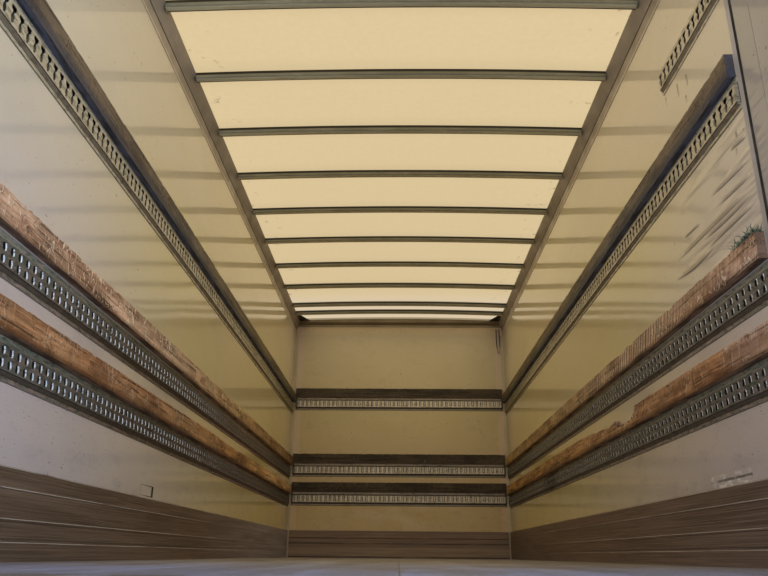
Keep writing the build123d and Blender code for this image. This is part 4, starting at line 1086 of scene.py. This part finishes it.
def oblong(t):
    """Half width of a front rail's slot at a share of its height: straight with round ends."""
    return 0.0120 * np.clip(1 - np.abs(2 * t - 1) ** 8, 0.05, None) ** 0.3


# Steps along the foot and the head of a rail's cell.
ALONG = 4


def ring(half_length, bottom, top, up, width=None):
    """Points (along, height) round a rectangle or a hole whose half width is width(t), from the
    rear lower corner: along the bottom, up, back along the top and down."""
    s = np.linspace(-1, 1, ALONG + 1)[:-1]
    t = np.linspace(0, 1, up + 1)[:-1]
    if width is None:
        width = lambda share: half_length + 0 * share
    ends = width(np.array([0.0, 1.0]))
    zs = bottom + t * (top - bottom)
    return np.concatenate([together(s * ends[0], bottom), together(width(t), zs),
                           together(-s * ends[1], top), together(-width(1 - t), top + bottom - zs)])


def at_depth(flat, depth):
    """Points (along, height) put at a depth off the wall: (along, depth, height)."""
    return together(flat[..., 0], depth, flat[..., 1])


def rail_profile(up_steps):
    """Outer and inner line (depth, height) of the hat section, with the face divided."""
    size = sizes()
    half_height, face, root = size.rail_height / 2, size.rail_face / 2, size.rail_face / 2 + size.rail_slope
    proud, sheet = size.rail_proud, size.rail_sheet
    web = np.linspace(-face, face, up_steps + 1)
    outer = ([(sheet, -half_height), (sheet, -root)] + [(proud, z) for z in web]
             + [(sheet, root), (sheet, half_height)])
    inner = ([(0, -half_height), (0, -root + sheet / 2)]
             + [(proud - sheet, z * (face - sheet / 2) / face) for z in web]
             + [(0, root - sheet / 2), (0, half_height)])
    return np.array(outer), np.array(inner)


def carried(profile, alongs):
    """A profile (depth, height) carried along the rail: grid of (along, depth, height)."""
    return together(np.asarray(alongs, float)[:, None], profile[None, :, 0], profile[None, :, 1])


# Material slots of a rail; the inside slot wears painted shade.
PLAIN, INSIDE, TONGUE = 0, 1, 2


def lashing_rail(made, start, end, height, holes, place, tongue_side=None):
    """Adds one run of hat-section rail: plain ends and perforated cells between them. A cell's
    face and back are quads between the cell's rim and the hole's, whose half width is a function
    of height. The flanges are strips along the run, and both ends are closed."""
    size = sizes()
    pitch, proud, sheet, face = size.slot_pitch, size.rail_proud, size.rail_sheet, size.rail_face / 2
    first = start + 0.005
    count = int((end - start - pitch) // pitch) + 1
    centres = first + pitch * (np.arange(count) + 0.5)
    spots = together(centres, 0.0, height)[:, None, None]
    up = 12 // len(holes)
    bands = np.linspace(-face, face, len(holes) + 1)
    for (bottom, top, width), z0, z1 in zip(holes, bands[:-1], bands[1:]):
        rim = ring(pitch / 2, z0, z1, up)
        hole = ring(pitch / 2, bottom, top, up, width)
        rows = [at_depth(rim, proud), at_depth(hole, proud), at_depth(hole, proud - sheet),
                at_depth(rim * (1, (face - sheet / 2) / face), proud - sheet)]
        for slot, pair in ((PLAIN, rows[:2]), (PLAIN, rows[1:3]), (INSIDE, rows[2:])):
            made.grid(place(np.stack(pair) + spots), close_columns=True, slot=slot)
    outer, inner = rail_profile(up * len(holes))
    lift = np.array([0, 0, height])
    last = first + pitch * count
    fine = np.linspace(first, last, count * ALONG + 1)
    for slot, line in ((PLAIN, outer), (INSIDE, inner)):
        for flange in (line[:3], line[-3:]):
            made.grid(place(carried(flange, fine) + lift), slot=slot)
        for a, b in ((start, first), (last, end)):
            made.grid(place(carried(line, (a, b)) + lift), slot=slot)
    whole = np.concatenate([[start], fine, [end]])
    for index in (0, -1):
        made.grid(place(carried(np.stack([outer[index], inner[index]]), whole) + lift))
    foot = inner * (0, 1)
    for y, cap in ((start, start + 0.001), (end, end - 0.001)):
        made.grid(place(np.concatenate([carried(outer, [y]), carried(inner, [y])]) + lift))
        plate = [carried(inner, [y]), carried(inner, [cap]), carried(foot, [cap]), carried(foot, [y])]
        made.grid(place(np.concatenate(plate)[:, 1:-1] + lift), close_rows=True)
    if tongue_side is not None:
        for bottom, top, width in holes:
            made.grid(place(tongue(bottom, top, tongue_side) + spots), close_rows=True, slot=TONGUE)


def tongue(bottom, top, side):
    """A bent tongue in a hole: a narrow slanted strip at the far side (1), the near side (-1) or
    upright in the middle (0), sunk by up to 3.4 mm as its distance from the far edge to the
    power of 1.5, with a second strip 1 mm behind it."""
    u = np.linspace(0, 1, 4)
    start, end = {1: (0.0130, 0.0102), -1: (-0.0075, -0.0132), 0: (0.0040, -0.0040)}[side]
    reach = start + (end - start) * u
    depth = sizes().rail_proud - 0.0004 - 0.0030 * u ** 1.5
    zs = np.linspace(bottom + 0.0015, top - 0.0010, 3)
    slant = np.array([0.0, 0.0004, -0.0042]) * side
    skin = together(reach[:, None] + slant, depth[:, None], zs[None])
    return np.concatenate([skin, (skin + (0.0003, -0.0010, 0))[::-1]])


# Slots and holes of a rail's face: bottom and top from its middle, and half width.
UPPER_SLOT = ((-0.032, 0.029, keyhole),)
FRONT_SLOT = ((-0.034, 0.034, oblong),)
LOWER_HOLES = ((-0.0335, -0.0055, punched), (0.0055, 0.0335, punched))


def screw_heads(made, start, end, height, place):
    """Round screw heads on both flanges of a rail, one for each screw pitch."""
    size = sizes()
    step = size.screw_pitch
    count = int((end - start - step) // step) + 1
    alongs = start + 0.03 + step * np.arange(count)
    for lift in (size.rail_height / 2 - 0.0075, 0.0075 - size.rail_height / 2):
        spots = together(alongs, size.rail_sheet, height + lift)
        made.grid(place(domes(spots, (0, 1, 0), 0.0048, 0.0014)), close_columns=True)


def rail_piece(name, stands_for, runs, heights, holes, place, colour_key, tongue_side=None):
    """One object for all the runs of like rail on a wall."""
    made = Surface()
    for start, end in runs:
        for height in heights:
            lashing_rail(made, start, end, height, holes, place, tongue_side)
            screw_heads(made, start, end, height, place)
    materials = [FINISHES[colour_key], FINISHES["rail_inside_shaded"], FINISHES["tongue"]]
    made.piece(name, "body", materials, (stands_for,))


def lashing_rails():
    """The slotted upper rails, the short rail, the front rails and the punched lower rails."""
    for side, s, runs in SIDES:
        rail_piece(f"rail_upper_{side}", f"side_rail_upper_{side}", runs, (ROWS[0][0],), UPPER_SLOT,
                   wall_map(s), "rail_light")
        rail_piece(f"rails_lower_{side}", f"side_rails_low_{side}", runs, (ROWS[1][0], ROWS[2][0]),
                   LOWER_HOLES, wall_map(s), "rail_dark", -s)
    rail_piece("rail_short", "side_rail_short", [(low("side_rail_short").y, high("side_rail_short").y)],
               (short_height() - FLOOR_Z,), UPPER_SLOT, wall_map(1), "rail_light")
    rail_piece("rails_front", "front_rails", [(low("front_rails").x, high("front_rails").x)],
               [row[0] for row in FRONT_ROWS], FRONT_SLOT, front_map, "rail_front", 0)


# Battens.

def batten(made, start, end, bottom, top, place, wear, seed, top_line=None, slot=0):
    """One timber run: a rectangle carried along the wall. Its free faces and upper edge are
    pulled in by noise, deepest where chips have gone, and top_line(along) lowers the top."""
    thick = sizes().batten_thick
    count = max(8, int((end - start) / 0.0085))
    alongs = np.linspace(start, end, count)
    across, rise = np.linspace(0, 1, 4), np.linspace(0, 1, 8)
    outline = np.concatenate([together(across[:-1], 0.0), together(1.0, rise[:-1]),
                              together(1 - across[:-1], 1.0), together(0.0, 1 - rise[:-1])])
    upper = top if top_line is None else top - top_line(alongs)[:, None]
    spots = together(alongs[:, None], outline[None, :, 0] * thick,
                     bottom + outline[None, :, 1] * (upper - bottom))
    y, depth, z = (spots[..., axis] for axis in range(3))
    fine = noise(spots, (0.014, 0.03, 0.02), seed)
    coarse = noise(spots, (0.11, 0.06, 0.05), seed + 1)
    chips = np.clip(noise(spots, (0.045, 0.03, 0.03), seed + 2) - 0.45, 0, 1) * 1.8
    corner = (np.abs(outline[:, 1] - 0.5) > 0.49) & (outline[:, 0] > 0.9)
    outer = outline[None, :, 0] > 0.9
    depth = depth - wear * np.where(outer, np.clip(0.10 + 0.10 * fine + 0.06 * coarse
                                                   + chips * (0.15 + 0.45 * corner), 0, 1), 0)
    ragged = np.clip(0.22 + 0.30 * fine + 0.08 * coarse + 1.0 * chips, 0, 1.2)
    crest = (outline[None, :, 1] > 0.99) & (outline[None, :, 0] > 0.3)
    z = z - wear * np.where(crest, ragged, 0)
    z = z + wear * np.where((outline[None, :, 1] < 0.01) & outer, 0.4 * ragged, 0)
    made.grid(place(capped(together(y, depth, z))), close_columns=True, slot=slot)


# Where the lowest right batten is broken: places along it and the depth that is gone.
BROKEN = ((-0.590, 0), (-0.560, 0.064), (-0.25, 0.060), (-0.222, 0.056), (-0.212, 0.018), (-0.190, 0.030),
          (-0.100, 0.038), (0.100, 0.026), (0.300, 0.013), (0.620, 0))


def broken_edge(along):
    """Depth broken out of the lowest right batten: steep at the rear, ragged along its floor and
    rising slowly in front of it."""
    depth = np.interp(along, *np.transpose(BROKEN))
    spots = together(along, 0.0, 0.0)
    return depth + np.clip(depth / 0.03, 0, 1) * (0.005 * noise(spots, (0.03, 1, 1), 77)
                                                  + 0.003 * noise(spots, (0.012, 1, 1), 78))


def chipped_edge(along):
    """Depth that a long chip takes off the lowest left batten's top in front of y = 0.6."""
    depth = np.interp(along, (0.56, 0.64, 2.6, 4.0), (0, 0.010, 0.007, 0.002))
    return depth * (1 + 0.5 * noise(together(along, 0.0, 0.0), (0.05, 1, 1), 79))


def battens():
    """Three timber battens on each side wall and three on the front wall."""
    wear = sizes().batten_wear
    for index, (side, s, runs) in enumerate(SIDES):
        timber = Surface()
        for start, end in runs:
            for row, (rail, underside) in enumerate(ROWS):
                notch = (broken_edge if s > 0 else chipped_edge) if row == 2 and end > 0 else None
                batten(timber, start, end, underside, underside + 0.100, wall_map(s),
                       wear * (0.35 if row == 0 else 1.0), 11 + 10 * index + 3 * row, notch, row)
        timber.piece(f"battens_{side}", "body",
                     [FINISHES[key] for key in ("wood_upper", "wood_middle", "wood_lower")],
                     (f"side_battens_{side}",), smooth=40)
    timber = Surface()
    for row, (rail, underside) in enumerate(FRONT_ROWS):
        batten(timber, low("front_battens").x, high("front_battens").x, underside, underside + 0.107,
               front_map, 0.5 * wear, 61 + row)
    timber.piece("battens_front", "body", [FINISHES["wood_front"]], ("front_battens",),
                 smooth=40)


def strands(name, finish, root, aim, droop, reach, thick):
    """Many thin strands, each a triangle carried along root + reach * (t * aim + t^2 * droop)
    and closed to a point at both ends."""
    t = np.linspace(0, 1, 5)[None, :, None]
    path = root[:, None] + reach[:, None, None] * (t * aim[:, None] + t ** 2 * droop[:, None])
    path[..., 0] = np.minimum(path[..., 0], HALF_IN - 0.0015)
    turn = np.arange(3) * 2 * pi / 3
    section = together(np.cos(turn), np.sin(turn), 0.0)
    made = Surface()
    taper = thick * np.array([0, 1, 0.9, 0.7, 0])[None, :, None, None]
    made.grid(path[:, :, None] + taper * section, close_columns=True)
    made.piece(name, "body", [FINISHES[finish]], weld=1e-7)


def frayed_strap():
    """What is left of a green strap on the end of the right middle batten."""
    draw = np.random.default_rng(5)
    count = 520
    root = together(HALF_IN - draw.uniform(0.002, 0.034, count),
                    RUNS_RIGHT[1][0] + 0.006 + 0.165 * draw.random(count) ** 1.15,
                    FLOOR_Z + ROWS[1][1] + 0.096)
    aim = draw.normal(0, (0.35, 0.50, 0.30), (count, 3)) + (-0.10, 0.0, 0.85)
    droop = draw.normal(0, (0.5, 0.6, 0.35), (count, 3)) - (0, 0, 0.45)
    strands("strap_remnant", "strap", root, aim, droop, draw.uniform(0.010, 0.034, count), 0.0014)


def splinters():
    """Splinters that stand in the break of the lowest right batten."""
    draw = np.random.default_rng(9)
    count = 46
    along = np.concatenate([draw.normal(-0.53, 0.028, count - 10), draw.normal(-0.225, 0.006, 10)])
    floor = FLOOR_Z + ROWS[2][1] + 0.1 - broken_edge(along) - 0.004
    root = together(HALF_IN - draw.uniform(0.004, 0.030, count), along, floor)
    aim = draw.normal(0, (0.12, 0.45, 0.18), (count, 3)) + (0, 0.15, 0.9)
    droop = draw.normal(0, (0.05, 0.2, 0.1), (count, 3))
    reach = draw.uniform(0.012, 0.036, count)
    strands("splinters", "wood_lower", root, aim, droop, reach, 0.0022)


# Roof bows.

def bow_fronts():
    """Front face of every bow along the body."""
    count = int((BOW_SECOND - low("roof_bows").y) / BOW_PITCH) + 1
    return np.concatenate([[BOW_FIRST], BOW_SECOND - BOW_PITCH * np.arange(count)])


def roof_bows():
    """Every bow is a box section with rounded lower corners carried along the roof's arc."""
    depth, radius = 0.040, 0.009
    half = high("roof_bows").x - 0.0135
    turn = np.linspace(0, pi / 2, 5)
    lower_rear = together(radius - radius * np.cos(turn), radius - depth - radius * np.sin(turn))
    lower_front = lower_rear[::-1] * (-1, 1) + (BOW_WIDTH, 0)
    section = np.concatenate([[(0, -0.0002)], lower_rear, lower_front, [(BOW_WIDTH, -0.0002)]])
    xs = np.linspace(-half, half, 33)
    bows = Surface()
    for y in bow_fronts():
        rings = together(xs[:, None], y - BOW_WIDTH + section[None, :, 0],
                         roof_z(xs)[:, None] + section[None, :, 1])
        bows.grid(capped(rings), close_columns=True)
    bows.piece("bows_roof", "body", [FINISHES["bow"]], ("roof_bows",))


# Rivets, door edges and lamps.

def domes(spots, axis, radius, rise):
    """A rivet head at every spot: rings of 8 points whose radius falls from the foot to the
    crown as the head rises, closed by a point at the crown and one below the foot."""
    turn = np.arange(8) * pi / 4
    share = np.array([0, 1, 1, 0.72, 0])[:, None]
    height = np.array([-0.35, -0.35, 0.35, 0.82, 1.0])[:, None]
    ahead = Vector(axis)
    across = ahead.orthogonal().normalized()
    axes = np.array([across, ahead.cross(across), ahead])
    head = together(radius * share * np.cos(turn), radius * share * np.sin(turn), rise * height)
    return head @ axes + spots.reshape(-1, 1, 1, 3)


def heads(made, x, y, z, axis, radius=0.006, rise=0.0028):
    """Adds a rivet head at every place of an array, where two of x, y and z may be one number."""
    made.grid(domes(together(x, y, z), axis, radius, rise), close_columns=True)


def row_of(start, end, pitch=0.16):
    """Even places between two ends at about a pitch."""
    return np.linspace(start, end, int(round((end - start) / pitch)) + 1)


def outer_rivets():
    """Rivets along the cant rails, raves, front posts and front header."""
    made = Surface()
    pitch = sizes().rivet_pitch
    for side, s, runs in SIDES:
        x = s * high("cant_rail_right").x
        ys = row_of(low("cant_rail_right").y + 0.05, high("cant_rail_right").y - 0.05, pitch)
        for z, along in ((WALL_TOP - 0.041, ys), (high("side_rave_right").z - 0.018, ys)):
            if s > 0 and z < 1:
                before = along < low("side_door_frame").y - 0.03
                along = along[before | (along > high("side_door_frame").y + 0.03)]
            heads(made, x, along, z, (s, 0, 0))
        zs = row_of(low("front_post_right").z + 0.06, high("front_post_right").z - 0.06, pitch)
        heads(made, s * (high("front_post_right").x - 0.030), high("front_post_right").y, zs, (0, 1, 0))
    xs = row_of(low("front_wall").x + 0.06, high("front_wall").x - 0.06, pitch)
    for z in (high("front_sill").z - 0.018, low("front_header").z + 0.075):
        heads(made, xs, high("front_sill").y, z, (0, 1, 0))
    made.piece("rivets_outer", "body", [FINISHES["aluminium"]])


def leaf_edges():
    """A channel wrapped round the edge of each rear leaf, mitred at its corners, with rivets
    through both of its flanges."""
    width, sheet = 0.034, 0.0014
    for side, s, runs in SIDES:
        node = f"rear_leaf_{side}"
        a, b = low(node), high(node)
        inset = np.array([-sheet, width, width, 0, 0, width, width, -sheet])
        xs = np.array([a.x - sheet, a.x - sheet, a.x, a.x, b.x, b.x, b.x + sheet, b.x + sheet])
        corners = [together(xs, y + dy * inset, z + dz * inset) for y, z, dy, dz in
                   ((a.y, a.z, 1, 1), (b.y, a.z, -1, 1), (b.y, b.z, -1, -1), (a.y, b.z, 1, -1))]
        made = Surface()
        made.grid(np.array(corners), close_rows=True, close_columns=True)
        zs, ys = row_of(a.z + 0.06, b.z - 0.06), row_of(a.y + 0.06, b.y - 0.06)
        for x, direction in ((a.x - sheet, -1), (b.x + sheet, 1)):
            for y in (a.y + 0.022, b.y - 0.022):
                heads(made, x, y, zs, (direction, 0, 0), 0.0045, 0.002)
            for z in (a.z + 0.022, b.z - 0.022):
                heads(made, x, ys, z, (direction, 0, 0), 0.0045, 0.002)
        made.piece(f"leaf_edge_{side}", f"rear_door_{side}", [FINISHES["aluminium"]])


def door_gasket():
    """A black bulb gasket on the side door's frame: a circle carried up the rear jamb, along
    the top and down the front jamb, with mitred corners."""
    radius = 0.0075
    turn = np.arange(12) * pi / 6
    inset, across = radius * np.cos(turn), 0.8 * radius * np.sin(turn)
    a, b = low("side_door_seal"), high("side_door_seal")
    rear, front, top = a.y - 0.001, b.y + 0.001, b.z + 0.001
    x = HALF_IN + 0.001 + across
    path = np.array([together(x, y, z) for y, z in ((rear - inset, a.z), (rear - inset, top + inset),
                                                    (front + inset, top + inset), (front + inset, a.z))])
    made = Surface()
    made.grid(capped(path), close_columns=True)
    made.piece("side_door_gasket", "body", [FINISHES["rubber"]])


# A loose cable on the front wall by the right corner: across and height.
CABLE = ((1.168, 2.850), (1.166, 2.724), (1.170, 2.637), (1.178, 2.570), (1.190, 2.552), (1.202, 2.580),
         (1.206, 2.650), (1.204, 2.749), (1.200, 2.850))


def loose_cable():
    """A cable hanging in a loop: a circle of radius 5 mm carried along a line through points."""
    turn = np.arange(6) * pi / 3
    line = np.array([(x, FRONT_Y - 0.0055, z) for x, z in CABLE])
    path = line[:, None] + 0.005 * together(np.cos(turn), np.sin(turn), 0.0)
    path[3:6] = line[3:6, None] + 0.005 * together(0.0, np.sin(turn), np.cos(turn))
    made = Surface()
    made.grid(capped(path), close_columns=True)
    made.piece("loose_cable", "body", [FINISHES["rubber"]])


# Places of the side marker lamps along the body.
LAMP_PLACES = (-2.5, 0.2, 2.9)


def marker_lamps():
    """Side marker lamps: a lens whose height over its base is (1 - u^6)^(1/3) (1 - v^6)^(1/3),
    on a rim with rounded corners."""
    u, v = np.meshgrid(np.linspace(-1, 1, 21), np.linspace(-1, 1, 13), indexing="ij")
    z = (low("marker_lamps").z + high("marker_lamps").z) / 2
    made = Surface()
    for side, s, runs in SIDES:
        base = s * high("side_rave_right").x
        for y in LAMP_PLACES:
            for half_y, half_z, foot, rise, power, slot in ((0.055, 0.020, -0.0003, 0.0075, 24, 1),
                                                            (0.050, 0.0155, 0.0070, 0.0125, 6, 0)):
                swell = ((1 - np.abs(u) ** power) * (1 - np.abs(v) ** power)) ** (1 / 3)
                for level in (foot + rise * swell, foot):
                    made.grid(together(base + s * level, y + half_y * u, z + half_z * v), slot=slot)
    made.piece("lamps_marker", "body", [FINISHES["lens"], FINISHES["rubber"]],
               ("marker_lamps",))


# Operators.

class BOXBODY_OT_finishes(bpy.types.Operator):
    """Makes every material and gives the construction nodes their finish"""
    bl_idname = "boxbody.finishes"
    bl_label = "Finishes"

    def execute(self, context):
        make_finishes()
        return {"FINISHED"}


class BOXBODY_OT_roof(bpy.types.Operator):
    """Makes the translucent roof sheet and its bows"""
    bl_idname = "boxbody.roof"
    bl_label = "Roof sheet and bows"

    def execute(self, context):
        roof_sheet()
        roof_bows()
        return {"FINISHED"}


class BOXBODY_OT_rails(bpy.types.Operator):
    """Makes the slotted and punched lashing rails"""
    bl_idname = "boxbody.rails"
    bl_label = "Lashing rails"

    def execute(self, context):
        lashing_rails()
        return {"FINISHED"}


class BOXBODY_OT_battens(bpy.types.Operator):
    """Makes the worn timber battens, the splinters and the strap remnant on one of them"""
    bl_idname = "boxbody.battens"
    bl_label = "Battens"

    def execute(self, context):
        battens()
        splinters()
        frayed_strap()
        return {"FINISHED"}


class BOXBODY_OT_fittings(bpy.types.Operator):
    """Makes the rivets, the edges of the rear leaves, gasket, cable and marker lamps"""
    bl_idname = "boxbody.fittings"
    bl_label = "Outer fittings"

    def execute(self, context):
        outer_rivets()
        leaf_edges()
        door_gasket()
        loose_cable()
        marker_lamps()
        return {"FINISHED"}


class BOXBODY_OT_stage(bpy.types.Operator):
    """Makes the floor, the lamps, the world and the camera"""
    bl_idname = "boxbody.stage"
    bl_label = "Stage"

    def execute(self, context):
        make_floor()
        make_world()
        make_lamps()
        make_camera()
        return {"FINISHED"}


STEPS = (BOXBODY_OT_finishes, BOXBODY_OT_roof, BOXBODY_OT_rails, BOXBODY_OT_battens, BOXBODY_OT_fittings,
         BOXBODY_OT_stage)


class BOXBODY_PT_panel(bpy.types.Panel):
    """Lists the steps that dress the box body"""
    bl_idname = "BOXBODY_PT_panel"
    bl_label = "Box body"
    bl_space_type = "VIEW_3D"
    bl_region_type = "UI"
    bl_category = "Box body"

    def draw(self, context):
        for step in STEPS:
            self.layout.operator(step.bl_idname)
        for key in GROUPS:
            group = getattr(context.scene, key)
            for name in type(group).__annotations__:
                self.layout.prop(group, name)


# Stage.

# What the camera sees behind the body.
BACKGROUND = (0.90, 0.91, 0.92, 1)


def make_floor():
    """A pale floor, flat and wide, as one grid."""
    reach = np.linspace(-40, 40, 3)
    x, y = np.meshgrid(reach, reach, indexing="ij")
    mesh = bpy.data.meshes.new("stage_floor")
    mesh.from_pydata(together(x, y, -0.0005).reshape(-1, 3), [], grid_quads(3, 3)[:, ::-1])
    floor = bpy.data.objects.new("stage_floor", mesh)
    bpy.context.scene.collection.objects.link(floor)
    material = bpy.data.materials.new("stage_floor")
    material.use_nodes = True
    tree = material.node_tree
    shader = tree.nodes["Principled BSDF"]
    fill(tree, shader, {"Base Color": (0.66, 0.66, 0.65, 1), "Roughness": 0.9})
    seen = Graph(tree).times(put(tree, "LightPath").outputs["Is Camera Ray"], 0.30)
    fill(tree, shader, {"Emission Color": BACKGROUND, "Emission Strength": seen})
    mesh.materials.append(material)


def make_world():
    """Soft daylight all round, and a plain pale background for the camera and for reflections."""
    world = bpy.data.worlds.new("daylight")
    bpy.context.scene.world = world
    world.use_nodes = True
    tree = world.node_tree
    tree.nodes.clear()
    light = put(tree, "Background", {"Color": (0.80, 0.88, 1.0, 1), "Strength": 0.62})
    plain = put(tree, "Background", {"Color": BACKGROUND, "Strength": 1.0})
    path = put(tree, "LightPath").outputs
    seen = Graph(tree).most([path[f"Is {kind} Ray"] for kind in ("Camera", "Glossy", "Transmission")])
    both = put(tree, "MixShader", {0: seen, 1: light.outputs[0], 2: plain.outputs[0]})
    put(tree, "OutputWorld", {"Surface": both.outputs[0]})


LAMPS = (
    # name, place, looks at, width, height, watts, colour
    ("lamp_doorway_right", (3.4, -7.4, 1.6), (-1.24, -2.8, 1.4), 2.4, 2.4, 300, (0.62, 0.80, 1.0)),
    ("lamp_doorway_left", (-3.6, -7.4, 1.3), (1.24, -2.8, 1.3), 2.4, 2.4, 130, (0.62, 0.80, 1.0)),
    ("lamp_roof_front", (0, 2.1, 2.86), (0, 2.1, 0), 2.2, 3.8, 15, (1.0, 0.82, 0.48)),
    ("lamp_roof_rear", (0, -1.9, 2.86), (0, -1.9, 0), 2.2, 3.8, 15, (1.0, 0.84, 0.56)),
    ("lamp_outside_right", (9.0, -3.0, 8.0), (0, 0, 1.2), 6.0, 6.0, 380, (1.0, 0.98, 0.95)),
    ("lamp_outside_left", (-9.0, 4.0, 8.0), (0, 0, 1.2), 6.0, 6.0, 300, (0.95, 0.97, 1.0)),
    ("lamp_outside_front", (0.0, 12.0, 6.0), (0, 4, 1.2), 5.0, 5.0, 200, (1.0, 1.0, 1.0)),
)


def make_lamps():
    """Soft area lamps: two before the doorway, two under the roof and three outside."""
    for name, place, target, width, height, watts, tint in LAMPS:
        data = bpy.data.lights.new(name, "AREA")
        data.shape = "RECTANGLE"
        data.size, data.size_y = width, height
        data.energy = watts
        data.color = tint
        lamp = bpy.data.objects.new(name, data)
        bpy.context.scene.collection.objects.link(lamp)
        lamp.location = place
        lamp.rotation_euler = (Vector(target) - Vector(place)).to_track_quat("-Z", "Y").to_euler()
        lamp.visible_camera = False
        lamp.visible_glossy = False
        lamp.visible_transmission = False


def make_camera():
    """The photograph's view, from the doorway and just over the load floor."""
    view = bpy.context.scene.box_body_view
    pitch, yaw, roll = radians(view.pitch), radians(view.yaw), radians(view.roll)
    ahead = Vector((sin(yaw) * cos(pitch), cos(yaw) * cos(pitch), sin(pitch)))
    level = Vector((cos(yaw), -sin(yaw), 0))
    over = level.cross(ahead)
    right = cos(roll) * level + sin(roll) * over
    up = cos(roll) * over - sin(roll) * level
    data = bpy.data.cameras.new("camera")
    data.lens = view.lens
    data.sensor_width = 36
    data.clip_start = 0.01
    data.clip_end = 200
    camera = bpy.data.objects.new("camera", data)
    bpy.context.scene.collection.objects.link(camera)
    turn = Matrix((right, up, -ahead)).transposed()
    place = Vector((view.side, FRONT_Y - view.distance, FLOOR_Z + view.height))
    camera.matrix_world = Matrix.Translation(place) @ turn.to_4x4()
    scene = bpy.context.scene
    scene.camera = camera
    scene.view_settings.view_transform = "Standard"


GROUPS = {
    "box_body_sizes": BoxBodySizes,
    "box_body_colours": BoxBodyColours,
    "box_body_view": BoxBodyView,
}
CLASSES = (*GROUPS.values(), *STEPS, BOXBODY_PT_panel)


def register():
    for cls in CLASSES:
        bpy.utils.register_class(cls)
    for name, group in GROUPS.items():
        setattr(bpy.types.Scene, name, bpy.props.PointerProperty(type=group))


def unregister():
    for name in GROUPS:
        delattr(bpy.types.Scene, name)
    for cls in reversed(CLASSES):
        bpy.utils.unregister_class(cls)


def main():
    register()
    for step in ("finishes", "roof", "rails", "battens", "fittings", "stage"):
        getattr(bpy.ops.boxbody, step)()


if __name__ == "__main__":
    main()
